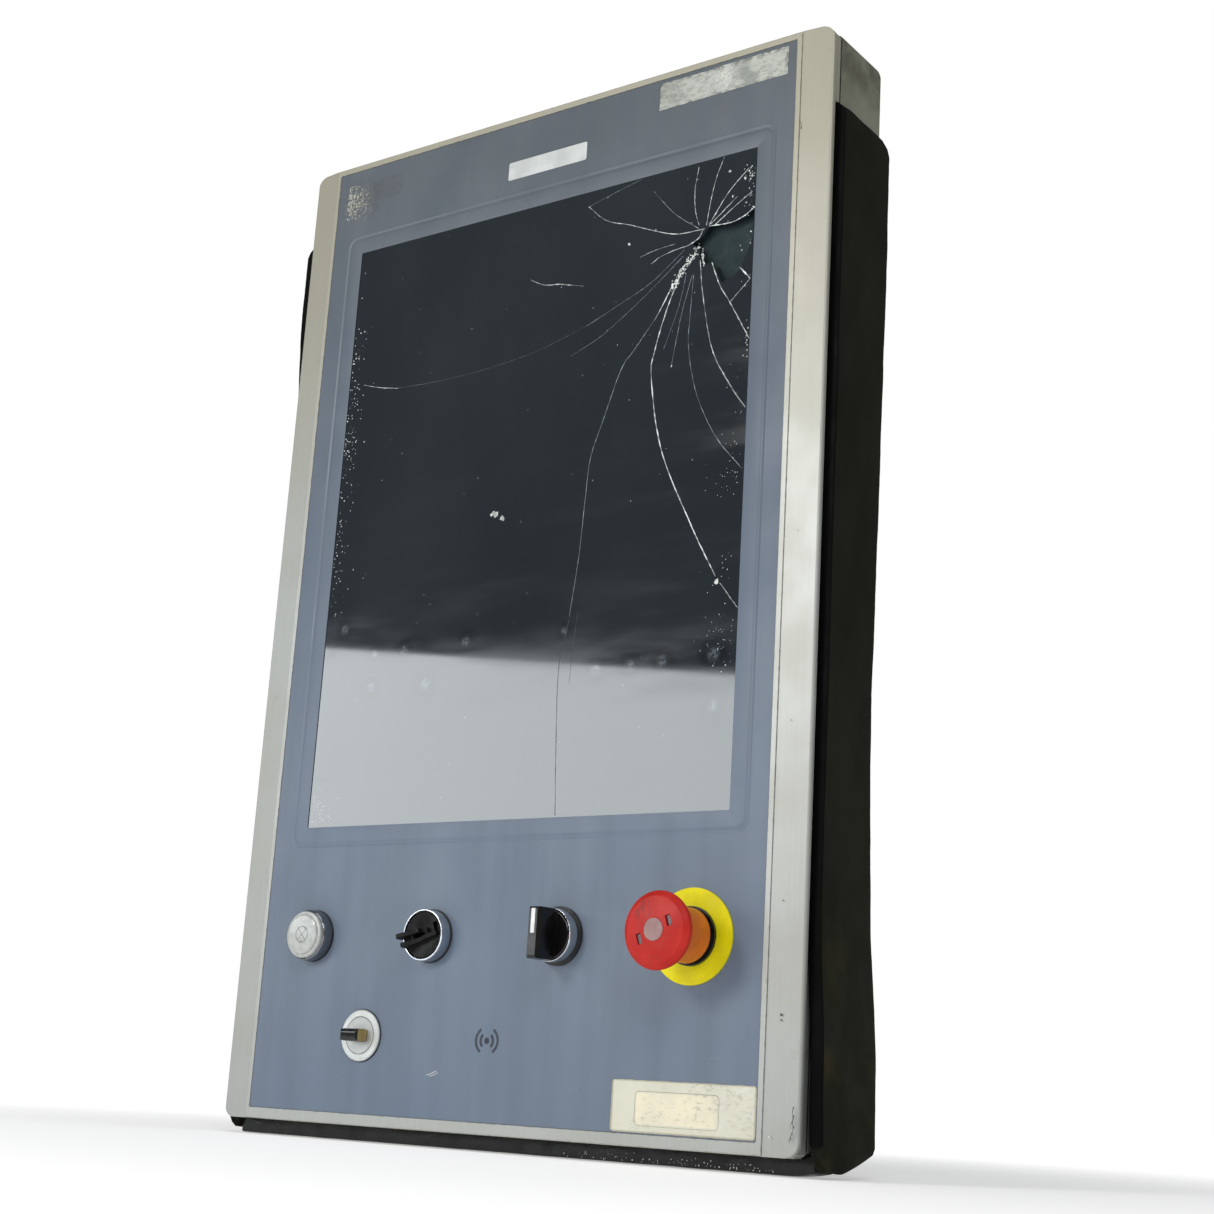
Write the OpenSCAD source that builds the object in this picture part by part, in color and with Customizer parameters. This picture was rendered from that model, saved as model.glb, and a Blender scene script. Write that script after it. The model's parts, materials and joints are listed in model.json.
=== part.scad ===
// Operator panel for a machine: a portrait touch display, an illuminated push-button, two selector
// switches, an emergency stop, a key switch and a card reader, in an aluminium and steel enclosure
// with black cellular-rubber pads glued round its sides and bottom.
// Millimetres. X runs across the panel, Y from the front to the back and Z up. The origin is the
// centre of the bounding box's bottom face, so the panel stands on its bottom pad.

/* [Front frame] */
// Width over both side profiles
frame_w = 396; // [390:1:402]
// Height of the side profiles
frame_h = 613; // [608:1:616]
// Depth of the front frame, from the film's face to the back of the profiles
frame_d = 14; // [14:0.5:15]
// Radius of the four corners seen from the front
frame_corner_r = 8; // [6:0.5:12]
// Radius of the long outer edges of the side profiles
frame_edge_r = 1.5; // [0.5:0.25:2]
// Depth of the side profiles' outer lip, from the film's face
lip_back = 5; // [6:0.2:9]

/* [Front film] */
// Width of the blue-grey front film
film_w = 350; // [344:1:352]
// Height of the front film
film_h = 602; // [600:1:602]
// Thickness of the front film
film_t = 0.5; // [0.3:0.1:0.6]
// Width of the display window
window_w = 301; // [299:0.5:303]
// Height of the display window
window_h = 376.5; // [374:0.5:379]
// Height of the window's centre above the film's bottom edge
window_z = 353.2; // [350:0.2:356]
// Sideways place of the window's centre
window_x = 1; // [0:0.5:1]
// Thickness of the carrier plate under the film
plate_t = 3.5; // [3:0.25:3.5]

/* [Housing] */
// Width of the rear housing
housing_w = 391; // [388:1:391]
// Height of the rear housing
housing_h = 611; // [604:1:611]
// Depth of the housing's back wall behind the film's face
housing_back = 63; // [62:1:66]
// Sheet thickness of the housing
housing_t = 2; // [1.5:0.25:2]
// Thickness of the glued rubber pads
pad_t = 8; // [6:0.5:8]
// Spacing of the four M4 arm-mounting holes
vesa_spacing = 100; // [100:1:100]
// Height of the arm-mounting holes' centre above the film's bottom edge
vesa_z = 330; // [300:1:345]

/* [Control devices] */
// Height of the row of four devices above the film's bottom edge
device_row_z = 100; // [97:0.5:103]
// Sideways place of the illuminated push-button
button_x = -134.8; // [-136:0.2:-133]
// Sideways place of the left selector
selector_left_x = -43.8; // [-46:0.2:-42]
// Sideways place of the right selector
selector_right_x = 46.5; // [44:0.5:48]
// Sideways place of the emergency stop
estop_x = 132.3; // [131:0.1:134]
// Sideways place of the key switch
lock_x = -90.6; // [-92:0.2:-89]
// Height of the key switch above the film's bottom edge
lock_z = 43.5; // [42:0.5:46]
// Angle of the left selector's broken grip, clockwise from upright
left_grip_angle = 70; // [0:5:90]
// Diameter of the emergency stop's mushroom
mushroom_d = 40; // [36:1:42]
// Diameter of the yellow disc under the emergency stop
disc_d = 50; // [46:1:54]

/* [Hidden] */

$fn = 72;

// Places of the panel in its own frame: the film's face and the film's bottom edge
mushroom_top = 36;
stud_end = 72;
front_y = (mushroom_top - stud_end) / 2;
film_z = 15.3;

// Front frame
frame_z0 = (film_h - frame_h) / 2 - 1.1;
strip_gap = 0.05;
plate_w = film_w + 6.6;
profile_x0 = plate_w / 2 + strip_gap;
profile_slope = 2;
plate_proud = 0.3;
plate_back = plate_t;
flange_t = 3;
flange_back = plate_back + flange_t;
flange_x0 = 166;
leg_t = 4.8;
leg_inset = 2.8;
tongue_back = 26;
rail_t = 2.9;
rail_flange = 13;
bracket_leg = 30;
bracket_t = 2.5;

// Display, measured from the film's face towards the back
glass_margin = 8;
glass_t = 3;
glass_gap = 0.4;
seal_t = 1.5;
lcd_w = 324;
lcd_h = 396;
bezel_t = 1.2;
cell_t = 2.4;
tray_t = 8.4;
glass_back = film_t + glass_t;
bezel_y = glass_back + seal_t;
cell_y = bezel_y + bezel_t;
tray_y = cell_y + cell_t;
tray_back = tray_y + tray_t;
clamp_arm_t = 1.5;

// Electronics
board_w = 220;
board_h = 200;
board_t = 1.6;
standoff_h = 8;
board_y = tray_back + standoff_h;
board_parts_y = board_y + board_t;

// Housing
gasket_t = 1;
housing_y = frame_d + gasket_t;
housing_z0 = frame_z0 + 2.1;
housing_r = 10;
housing_side_r = 2.5;
housing_corner_r = 2.4;
cover_t = 2;
cover_back = housing_back + cover_t;
cover_w = 270;
cover_h = 350;
arm_pad_w = 130;
arm_pad_t = 1.5;
connector_z = 42;
connector_w = 116;
connector_h = 52;
pad_gap = 0.2;
pad_x0 = housing_w / 2 + pad_gap;
pad_x1 = pad_x0 + pad_t;
pad_top = 564;
bottom_pad_left = 195.2;
bottom_pad_right = 199.8;
bottom_pad_d = 18;
bottom_pad_h = film_z + housing_z0 - pad_gap;
bottom_heel = 165;

// Screws
screw_r = 1.9;
screw_hole_r = 2;
screw_head_r = 3.8;
screw_head_t = 2.2;

// Control devices: radii and heights above the film's face
panel_hole_r = 11.25;
shank_r = 10.9;
stem_hole_r = 6.3;
stem_r = 6;
clamp_front = -plate_back;
clamp_t = 7;
block_top = -30;
block_bottom = -52;
row = [button_x, selector_left_x, selector_right_x, estop_x];

// Places geometry given from the film's face and bottom edge
module panel(x = 0, z = 0) translate([x, front_y, film_z + z]) children();

// Places a control device whose local Z axis points out of the panel
module device(x, z) panel(x, z) rotate([90, 0, 0]) children();

// Turns an outline in X and Z into a sheet that starts at depth y and is t thick
module sheet(y, t) panel() translate([0, y + t, 0]) rotate([90, 0, 0]) linear_extrude(t) children();

// Turns a radius and height profile about the device's axis
module turned(profile) rotate_extrude() polygon(profile);

function arc(x, y, r, from, to, steps = 6) =
    [for (i = [0:steps]) let (a = from + (to - from) * i / steps) [x + r * cos(a), y + r * sin(a)]];

function round_rect(w, h, r) = concat(
    arc(w / 2 - r, h / 2 - r, r, 0, 90), arc(r - w / 2, h / 2 - r, r, 90, 180),
    arc(r - w / 2, r - h / 2, r, 180, 270), arc(w / 2 - r, r - h / 2, r, 270, 360));

module plate_outline(w, h, r) polygon(round_rect(w, h, r));

// A pan-head screw whose head points to the back, with the head's underside at depth y
module pan_screw(x, z, y, length) panel(x, z) translate([0, y, 0]) rotate([-90, 0, 0]) {
    cylinder(r = screw_head_r, h = screw_head_t);
    translate([0, 0, -length]) cylinder(r = screw_r, h = length + 0.5);
}

// ---------------------------------------------------------------- front frame

frame_mid_z = frame_z0 + frame_h / 2;

module frame_outline() translate([0, frame_mid_z]) plate_outline(frame_w, frame_h, frame_corner_r);

// Section of one side profile in X and Y: sloping face, thin outer lip, rear leg with the tongue
// that enters the housing, and the flange behind the carrier plate
function profile_section() = concat(
    [[profile_x0, 0.2]],
    arc(frame_w / 2 - frame_edge_r, profile_slope + frame_edge_r, frame_edge_r, -90, 0, 8),
    [[frame_w / 2, lip_back], [frame_w / 2 - leg_inset, lip_back], [frame_w / 2 - leg_inset, frame_d],
     [housing_w / 2 - housing_t - 0.3, frame_d],
     [housing_w / 2 - housing_t - 0.3, tongue_back], [frame_w / 2 - leg_t - 2, tongue_back],
     [frame_w / 2 - leg_t - 2, flange_back], [flange_x0, flange_back],
     [flange_x0, plate_back + 0.1], [profile_x0, plate_back + 0.1]]);

module side_profile() difference() {
    intersection() {
        panel(0, frame_z0) linear_extrude(frame_h) polygon(profile_section());
        sheet(-1, tongue_back + 2) frame_outline();
    }
    housing_screw_holes(1);
    frame_screw_holes();
    // Cuts the tongue short of the housing's ends and the rails' webs
    for (z = [frame_z0 - 1, frame_z0 + frame_h - 19])
        panel(0, z) translate([0, frame_d, 0]) cube([frame_w, tongue_back, 20]);
    for (z = [frame_z0 - 1, frame_z0 + frame_h - rail_t - 0.1])
        panel(0, z) translate([0, flange_back + 0.1, 0]) cube([frame_w / 2 - leg_t, frame_d, rail_t + 1.1]);
}

module side_profile_left() color("#b9bbaa") mirror([1, 0, 0]) side_profile();

module side_profile_right() color("#c8c8bc") side_profile();

// Angle rails that close the frame at its top and bottom between the side profiles
module rail(up) {
    edge_z = frame_mid_z + up * frame_h / 2;
    inner_z = edge_z - up * rail_t;
    flange_z = inner_z - up * rail_flange;
    difference() {
        union() {
            sheet(plate_back + 0.1, frame_d - plate_back - 0.1)
                translate([0, (edge_z + inner_z) / 2]) square([2 * flange_x0 - 0.4, rail_t], center = true);
            sheet(flange_back + 0.1, frame_d - flange_back - 0.1)
                translate([0, (edge_z + inner_z) / 2])
                    square([frame_w - 2 * leg_t - 0.4, rail_t], center = true);
            sheet(plate_back + 0.1, flange_t - 0.1)
                translate([0, (inner_z + flange_z) / 2])
                    square([2 * flange_x0 - 0.4, rail_flange + 0.1], center = true);
        }
        frame_screw_holes();
    }
}

module top_rail() color("#b4b4a6") rail(1);

module bottom_rail() color("#b4b4a6") rail(-1);

bracket_z = [frame_z0 + rail_t + 9, frame_z0 + frame_h - rail_t - 9];
clamp_z = [window_z - 165, window_z, window_z + 165];
clamp_screw_x = 171.5;

// Flat angles that join each side profile to a rail behind the flanges
module corner_brackets() color("silver")
    for (side = [-1, 1], z = bracket_z)
        difference() {
            sheet(flange_back, bracket_t)
                translate([side * (flange_x0 + 1), z]) square([bracket_leg + 12, 14], center = true);
            for (x = [flange_x0 - 12, flange_x0 + 13])
                panel(side * x, z) rotate([-90, 0, 0]) cylinder(r = screw_hole_r, h = 20);
        }

// Places of the M4 screws that hold the brackets and the display clamps
frame_screw_places = concat(
    [for (side = [-1, 1], z = bracket_z, x = [flange_x0 - 12, flange_x0 + 13]) [side * x, z, bracket_t]],
    [for (side = [-1, 1], z = clamp_z) [side * clamp_screw_x, z, clamp_arm_t]]);

module frame_screw_holes()
    for (p = frame_screw_places)
        panel(p[0], p[1]) translate([0, plate_back, 0]) rotate([-90, 0, 0])
            cylinder(r = screw_hole_r, h = 3.5);

module frame_screws() color("dimgray")
    for (p = frame_screw_places)
        pan_screw(p[0], p[1], flange_back + p[2], p[2] + flange_t - 0.2);

// ---------------------------------------------------------------- front plate, film and display

module window_outline(margin, r) translate([window_x, window_z])
    plate_outline(window_w + 2 * margin, window_h + 2 * margin, r);

module device_holes() {
    for (x = row) translate([x, device_row_z]) circle(r = panel_hole_r);
    translate([lock_x, lock_z]) circle(r = panel_hole_r);
}

module front_plate() color("#bcbcae")
    difference() {
        sheet(-plate_proud, plate_t + plate_proud) translate([0, frame_mid_z])
            plate_outline(plate_w, frame_h - 0.8, 0.5);
        sheet(-1, 1 + film_t) translate([0, film_h / 2]) plate_outline(film_w + 0.4, film_h + 0.4, 1);
        sheet(-1, 10) window_outline(glass_margin + glass_gap, 2);
        sheet(-1, 10) device_holes();
        // Opening that lets the card reader see through the film
        sheet(-1, 10) translate([0, lock_z]) plate_outline(44, 30, 3);
    }

module front_film() color("#6c7786")
    difference() {
        sheet(0, film_t) translate([0, film_h / 2]) plate_outline(film_w, film_h, 1);
        sheet(-1, 5) window_outline(0, 0.5);
        sheet(-1, 5) device_holes();
        // Embossed groove round the window
        sheet(-1, 1.15) difference() {
            window_outline(12.8, 8);
            window_outline(9.2, 5);
        }
    }

module touch_glass() color("#1c2a38") sheet(film_t, glass_t) window_outline(glass_margin, 2);

module glass_seal() color("#1b1b1b") sheet(glass_back, seal_t) difference() {
    window_outline(glass_margin, 2);
    window_outline(3, 1);
}

module lcd_outline(inset) translate([window_x, window_z])
    plate_outline(lcd_w - 2 * inset, lcd_h - 2 * inset, 2);

// Metal front frame of the display module, folded back over its edges
module lcd_bezel() color("silver")
    difference() {
        sheet(bezel_y, bezel_t + cell_t + 4) lcd_outline(0);
        sheet(bezel_y - 1, 5) window_outline(0, 0.5);
        sheet(cell_y, 10) lcd_outline(1);
    }

module lcd_cell() color("#22384c") sheet(cell_y, cell_t) lcd_outline(1.5);

// Backlight tray with two stiffening beads and the connector board on its back
module backlight_tray() color("#a9adb0") {
    sheet(tray_y, tray_t - 1) lcd_outline(1.5);
    for (x = [-60, 60])
        sheet(tray_back - 1, 1) translate([x, window_z]) square([40, lcd_h - 60], center = true);
    sheet(tray_back - 1, 1) translate([0, window_z]) square([200, 40], center = true);
}

// Bent clamps that press the display module against the glass
module display_clamps() color("silver")
    for (side = [-1, 1], z = clamp_z)
        difference() {
            union() {
                sheet(flange_back, clamp_arm_t)
                    translate([side * (flange_x0 + 5), z]) square([12, 18], center = true);
                sheet(flange_back, tray_back - flange_back - 1 + clamp_arm_t)
                    translate([side * (flange_x0 - 1.75), z]) square([1.5, 18], center = true);
                sheet(tray_back - 1, clamp_arm_t)
                    translate([side * (flange_x0 - 9), z]) square([16, 18], center = true);
            }
            panel(side * clamp_screw_x, z) rotate([-90, 0, 0]) cylinder(r = screw_hole_r, h = 20);
        }

// ---------------------------------------------------------------- electronics

standoff_places = [for (x = [-1, 1], z = [-1, 1]) [x * (board_w / 2 - 6), window_z + z * (board_h / 2 - 6)]];

module board_standoffs() color("goldenrod")
    for (p = standoff_places)
        panel(p[0], p[1]) translate([0, tray_back - 1, 0]) rotate([-90, 0, 0])
            cylinder(r = 3, h = standoff_h + 1, $fn = 6);

module main_board() color("darkgreen") {
    sheet(board_y, board_t) translate([0, window_z]) square([board_w, board_h], center = true);
    // Memory module, connectors and capacitors on the back of the board
    for (part = [[-70, 40, 12, 70, 6], [80, 60, 16, 50, 9], [80, -20, 16, 60, 9], [-80, -50, 30, 30, 12]])
        sheet(board_parts_y, part[4]) translate([part[0], window_z + part[1]])
            square([part[2], part[3]], center = true);
    for (x = [-40:16:56])
        panel(x, window_z - 75) translate([0, board_parts_y, 0]) rotate([-90, 0, 0]) cylinder(r = 5, h = 12);
}

// Finned heat sink on the processor
module heat_sink() color("#8d9094") {
    sheet(board_parts_y, 4) translate([5, window_z + 30]) square([84, 84], center = true);
    for (i = [0:11])
        sheet(board_parts_y + 3.5, 14) translate([5 - 41 + i * 7.4, window_z + 30])
            square([1.6, 84], center = true);
}

module power_supply() color("#9a9c9e")
    difference() {
        sheet(plate_back, 40) translate([112, 40]) square([96, 54], center = true);
        for (x = [76:8:148])
            sheet(37, 20) translate([x, 40]) square([3, 36], center = true);
    }

module card_reader() color("#2b2b2e") {
    sheet(film_t + 0.2, plate_back - film_t + 4) translate([0, lock_z]) plate_outline(42, 28, 2);
    sheet(plate_back, 12) translate([0, lock_z]) plate_outline(62, 42, 2);
}

// ---------------------------------------------------------------- housing

module housing_gasket() color("#202020")
    sheet(frame_d, gasket_t) translate([0, housing_mid_z]) difference() {
        plate_outline(housing_w - 0.4, housing_h - 0.4, housing_corner_r);
        plate_outline(housing_w - 2 * housing_t - 0.2, housing_h - 10, housing_corner_r);
    }

housing_mid_z = housing_z0 + housing_h / 2;

// A box with small corners in the front view, sharp folds along its sides and wide folds at the
// top and bottom of its back wall
module tray_solid(inset, front) intersection() {
    sheet(front, housing_back - inset - front) translate([0, housing_mid_z])
        plate_outline(housing_w - 2 * inset, housing_h - 2 * inset, housing_corner_r - inset);
    panel(0, housing_z0 + inset) linear_extrude(housing_h - 2 * inset)
        back_rounded(housing_w - 2 * inset, housing_side_r - inset, inset);
    panel(housing_w / 2, housing_mid_z) rotate([0, -90, 0]) linear_extrude(housing_w)
        back_rounded(housing_h - 2 * inset, housing_r - inset, inset);
}

module back_rounded(w, r, inset) {
    y = housing_back - inset;
    polygon(concat([[w / 2, 0]], arc(w / 2 - r, y - r, r, 0, 90, 5), arc(r - w / 2, y - r, r, 90, 180, 5),
        [[-w / 2, 0]]));
}

cover_screw_places = concat(
    [for (x = [-1, 1], z = [-1, 0, 1]) [x * (cover_w / 2 - 6), vesa_z + z * (cover_h / 2 - 8)]],
    [for (x = [-1, 1], z = [-1, 1]) [x * (connector_w / 2 - 5), connector_z + z * (connector_h / 2 - 5)]]);

module cover_screw_holes(r)
    for (p = cover_screw_places)
        panel(p[0], p[1]) translate([0, housing_back - 5, 0]) rotate([-90, 0, 0]) cylinder(r = r, h = 10);

housing_screw_z = [60, 300, 500];

// Countersunk screw through the housing's side wall into the profile's tongue
module housing_screw(side, z, grow) panel(side * housing_w / 2, z) translate([0, 20.5, 0])
    rotate([0, -90 * side, 0]) {
        cylinder(r1 = screw_head_r + grow, r2 = screw_r + grow, h = housing_t);
        cylinder(r = screw_r + grow, h = 5 + grow);
    }

module housing_screw_holes(side)
    for (z = housing_screw_z) housing_screw(side, z, 0.1);

module rear_housing() color("#a5a596")
    difference() {
        tray_solid(0, housing_y);
        tray_solid(housing_t, housing_y - 5);
        sheet(housing_back - 5, 10) translate([0, vesa_z]) plate_outline(cover_w - 24, cover_h - 30, 6);
        sheet(housing_back - 5, 10) translate([0, connector_z])
            plate_outline(connector_w - 20, connector_h - 20, 3);
        cover_screw_holes(screw_hole_r);
        for (side = [-1, 1]) housing_screw_holes(side);
    }

module housing_screws() color("dimgray")
    for (side = [-1, 1], z = housing_screw_z) housing_screw(side, z, 0);

module arm_holes()
    for (x = [-1, 1], z = [-1, 1])
        panel(x * vesa_spacing / 2, vesa_z + z * vesa_spacing / 2)
            translate([0, housing_back - 10, 0]) rotate([-90, 0, 0]) cylinder(r = 2.1, h = 20);

// Cover of the housing's rear opening, with a raised pad that a monitor arm's plate bears on
module service_cover() color("#adad9f")
    difference() {
        union() {
            sheet(housing_back, cover_t) translate([0, vesa_z]) plate_outline(cover_w, cover_h, 8);
            sheet(housing_back, cover_t + arm_pad_t) translate([0, vesa_z])
                plate_outline(arm_pad_w, arm_pad_w, 10);
        }
        cover_screw_holes(2.2);
        arm_holes();
    }

// Steel plate behind the cover, tapped M4 for a monitor arm
module arm_plate() color("#777a7d")
    difference() {
        sheet(housing_back - 4, 4) translate([0, vesa_z]) plate_outline(140, 140, 6);
        arm_holes();
    }

module cover_screws() color("silver")
    for (p = cover_screw_places) pan_screw(p[0], p[1], cover_back, 5);

socket_x = [-34, 2, 34];

module connector_panel() color("#c3c4c0")
    difference() {
        sheet(housing_back, cover_t) translate([0, connector_z]) plate_outline(connector_w, connector_h, 4);
        cover_screw_holes(2.2);
        for (x = socket_x)
            panel(x, connector_z) translate([0, housing_back - 5, 0]) rotate([-90, 0, 0])
                cylinder(r = 7, h = 20);
    }

// M12 panel connector: hexagonal flange, threaded stud for the cable's ring nut, rear body
module m12_connector(x) panel(x, connector_z) translate([0, cover_back, 0]) rotate([-90, 0, 0]) {
    cylinder(r = 9, h = 1.6, $fn = 6);
    cylinder(r = 6, h = stud_end - cover_back);
    translate([0, 0, -8]) cylinder(r = 6.8, h = 9);
}

module power_connector() color("#b8b9bb") m12_connector(socket_x[0]);

module data_connectors() color("#b8b9bb")
    for (i = [1, 2]) m12_connector(socket_x[i]);

// ---------------------------------------------------------------- pads and labels

pad_flare = 5.2;
pad_front = 7.6;
pad_foot = -13.2;

// Outline of a side pad in height and depth, from its front edge over the head and down the rear
pad_side = [[0, pad_front], [pad_top, pad_front], [pad_top, 16], [557.5, 26], [557, 53], [554, 60],
    [549, 61.4], [460, 61.4], [400, 60.3], [340, 58.6], [285, 57.6], [230, 55.8], [180, 57.7],
    [125, 60.3], [74, 62.8], [25, 63.3], [-3, 63.3], [-8.4, 47], [-11.8, 35], [pad_foot, 28],
    [-12.4, 14]];

// Section of a side pad in X and Z, from its foot to its head: one end bends away from the housing
function pad_section(foot, head) = [
    [pad_x0 + foot, pad_foot], [pad_x1 + foot, pad_foot], [pad_x1 + foot * 0.8, 30], [pad_x1, 120],
    [pad_x1, 430], [pad_x1 + head, 520], [pad_x1 + head, pad_top],
    [pad_x0 + head, pad_top], [pad_x0 + head, 520], [pad_x0, 430], [pad_x0, 120],
    [pad_x0 + foot * 0.8, 30]];

module side_pad(foot, head)
    intersection() {
        panel() translate([0, housing_back + 5, 0]) rotate([90, 0, 0]) linear_extrude(60)
            polygon(pad_section(foot, head));
        panel(housing_w) rotate([0, -90, 0]) linear_extrude(housing_w) polygon(pad_side);
    }

module side_pad_left() color("#1a1a18") mirror([1, 0, 0]) side_pad(0, pad_flare);

module side_pad_right() color("#1a1a18") side_pad(pad_flare, 0);

// The bottom pad's rear corners are cut away, clear of the side pads' slanted feet
module bottom_pad() color("#141414") {
    sheet(housing_y + pad_gap, bottom_pad_d) translate([-bottom_pad_left, -film_z])
        square([bottom_pad_left + bottom_pad_right, bottom_pad_h]);
    sheet(housing_y + pad_gap, housing_back - housing_y - 2) translate([-bottom_heel, -film_z])
        square([2 * bottom_heel, bottom_pad_h]);
}

module top_label() color("#b5b7ae") sheet(-0.2, 0.2) translate([126, 591]) plate_outline(88, 18, 1);

module bottom_label() color("#cfcab2") sheet(-0.25, 0.25) translate([130.9, 13.7]) plate_outline(88, 26.6, 2);

// ---------------------------------------------------------------- control devices

module row_device(i) device(row[i], device_row_z) children();

// Flat sealing rings under the bezels of the button, the selectors and the key switch
module gasket_ring(r, t) difference() {
    cylinder(r = r, h = t);
    translate([0, 0, -1]) cylinder(r = shank_r + 0.1, h = t + 2);
}

module device_gaskets() color("#151517") {
    row_device(0) gasket_ring(15.2, 0.6);
    row_device(1) gasket_ring(15.2, 0.6);
    row_device(2) gasket_ring(15.9, 1.6);
    device(lock_x, lock_z) gasket_ring(14.9, 0.5);
}

// Mounting adapters that grip the devices' shanks behind the plate
module device_clamp() difference() {
    translate([-16, -18, clamp_front - clamp_t]) cube([32, 36, clamp_t]);
    translate([0, 0, clamp_front - clamp_t - 1]) cylinder(r = shank_r + 0.1, h = clamp_t + 2);
}

module device_clamps() color("#8b8d90") {
    for (i = [0:3]) row_device(i) device_clamp();
    device(lock_x, lock_z) device_clamp();
}

// Contact block with its two legs, which hook to the adapter, and its terminal screws
module contact_block(bottom) {
    translate([-14, -19, bottom]) cube([28, 38, block_top - bottom]);
    for (y = [-19, 15.5])
        translate([-9, y, block_top - 0.5]) cube([18, 3.5, clamp_front - clamp_t - block_top + 0.5]);
    for (x = [-7, 7], y = [-14, 14])
        translate([x, y, bottom - 0.8]) cylinder(r = 2.6, h = 1.5);
}

module button_contacts() color("#d8d8d2") row_device(0) contact_block(block_bottom);

module selector_contacts() color("#3f7d4a")
    for (i = [1, 2]) row_device(i) contact_block(block_bottom);

module estop_contacts() color("#a33b34") row_device(3) contact_block(block_bottom - 3);

module lock_contacts() color("#3f7d4a") device(lock_x, lock_z) contact_block(block_bottom);

// Push-button: metal bezel, sprung plunger, white legend disc and clear lens
module button_bezel() color("#9ea2a8") row_device(0) turned([
    [shank_r, -22], [shank_r, 0.6], [14.8, 0.6], [14.8, 5.6], [14.5, 7.2], [14.1, 7.7], [13.9, 7.2],
    [13.9, 2], [9.6, 2], [9.6, -20.6], [6.95, -20.6], [6.95, -22]]);

module button_plunger() color("#c9c9c4") row_device(0) turned([
    [0, 8.2], [13.2, 8.2], [13.2, 6.4], [9.2, 6.4], [9.2, -2], [6.6, -2], [6.6, -22.4],
    [8, -22.4], [8, -24], [5, -24], [5, -25.6], [0, -25.6]]);

button_spring_turns = 6;
button_spring_wire = 0.4;
button_spring_r = 8.1;
button_spring_low = -20.1;
button_spring_high = -2.5;

// One ring of the helix: a small octagon round the coil's centre line
function spring_ring(i, steps) =
    let (a = 360 * button_spring_turns * i / steps,
         z = button_spring_low + (button_spring_high - button_spring_low) * i / steps)
    [for (k = [0:7]) let (b = 45 * k, r = button_spring_r + button_spring_wire * cos(b))
        [r * cos(a), r * sin(a), z + button_spring_wire * sin(b)]];

module button_spring() color("silver") row_device(0) {
    steps = button_spring_turns * 16;
    points = [for (i = [0:steps]) each spring_ring(i, steps)];
    sides = [for (i = [0:steps - 1], k = [0:7])
        [8 * i + k, 8 * i + (k + 1) % 8, 8 * (i + 1) + (k + 1) % 8, 8 * (i + 1) + k]];
    ends = [[for (k = [0:7]) 7 - k], [for (k = [0:7]) 8 * steps + k]];
    polyhedron(points, concat(sides, ends), convexity = 12);
}

module button_legend() color("white") row_device(0) translate([0, 0, 8.2]) cylinder(r = 10.8, h = 2.3);

module button_lens() color("#d7dcd8", 0.5) row_device(0) turned([
    [10.9, 8.2], [13.25, 8.2], [13.25, 6.4], [13.6, 6.4], [13.6, 9.2], [13.2, 9.7], [11.9, 9.9],
    [11.3, 10.9], [10.6, 11.2], [0, 11.3], [0, 10.5], [10.9, 10.5]]);

// Selector switches share one bezel and one stem
module selector_bezel() turned([
    [shank_r, -20.8], [shank_r, 0.6], [14.6, 0.6], [14.6, 6.4], [14.5, 7.8], [14.2, 8.2], [13.7, 8.2],
    [13.5, 7.9], [13.5, 2], [stem_hole_r, 2], [stem_hole_r, -20.8]]);

// Stem with the lip that keeps it in the bezel
module selector_stem() {
    translate([0, 0, -28]) cylinder(r = stem_r, h = 31);
    translate([0, 0, -22.6]) cylinder(r = 8, h = 1.4);
}

module selector_left_bezel() color("#c4c6c8") row_device(1) selector_bezel();

// Height outlines of what is left of the hollow grip's two walls, along the grip
stub_upper = [[-12, 3], [-12, 8.8], [-13.6, 9.4], [-13.6, 14.6], [-12.6, 16], [-9, 14.6], [-4.5, 11.6],
    [-0.4, 10.6], [0.4, 3]];
stub_lower = [[-11.6, 3], [-12.4, 12.6], [-11.4, 15], [-9.2, 14], [-6.4, 11.2], [0, 10.4], [6, 10.9],
    [10.6, 9.8], [11.6, 3]];

stub_wall_t = 2.3;

module stub_wall(outline, side) translate([0, side * 2.7 + stub_wall_t / 2, 0]) rotate([90, 0, 0])
    linear_extrude(stub_wall_t) polygon(outline);

// Rotor of the left selector: its grip has broken off and two ragged walls are left
module selector_left_rotor() color("#1c1c1e") row_device(1) {
    difference() {
        turned([[0, 2.3], [13.15, 2.3], [13.15, 7.3], [12.6, 7.7], [0, 7.2]]);
        rotate(90 - left_grip_angle) translate([-9, -1.5, 4.5]) cube([12, 3, 4]);
        rotate(90 - left_grip_angle) translate([8.5, -4.2, 5]) cube([3.4, 8.4, 4]);
    }
    selector_stem();
    rotate(90 - left_grip_angle) {
        stub_wall(stub_upper, 1);
        stub_wall(stub_lower, -1);
        translate([3.4, -2.4, 3]) cube([1.8, 4.8, 6.8]);
        translate([-6.5, -2.4, 3]) cube([1.6, 4.8, 7.4]);
    }
}

module selector_right_bezel() color("#c4c6c8") row_device(2) translate([0, 0, 1]) selector_bezel();

grip_w = 7;
grip_l = 27.4;
grip_top = 24;

// Outline of the grip seen from the side: its foot stands inside the bezel's rim
function grip_side() = concat(
    [[-grip_l / 2, 10.4], [-11.6, 9.8], [-11.6, 4], [11.6, 4], [11.6, 9.8], [grip_l / 2, 10.4]],
    arc(grip_l / 2 - 1.6, grip_top - 1.6, 1.6, 0, 90), arc(1.6 - grip_l / 2, grip_top - 1.6, 1.6, 90, 180));

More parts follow.
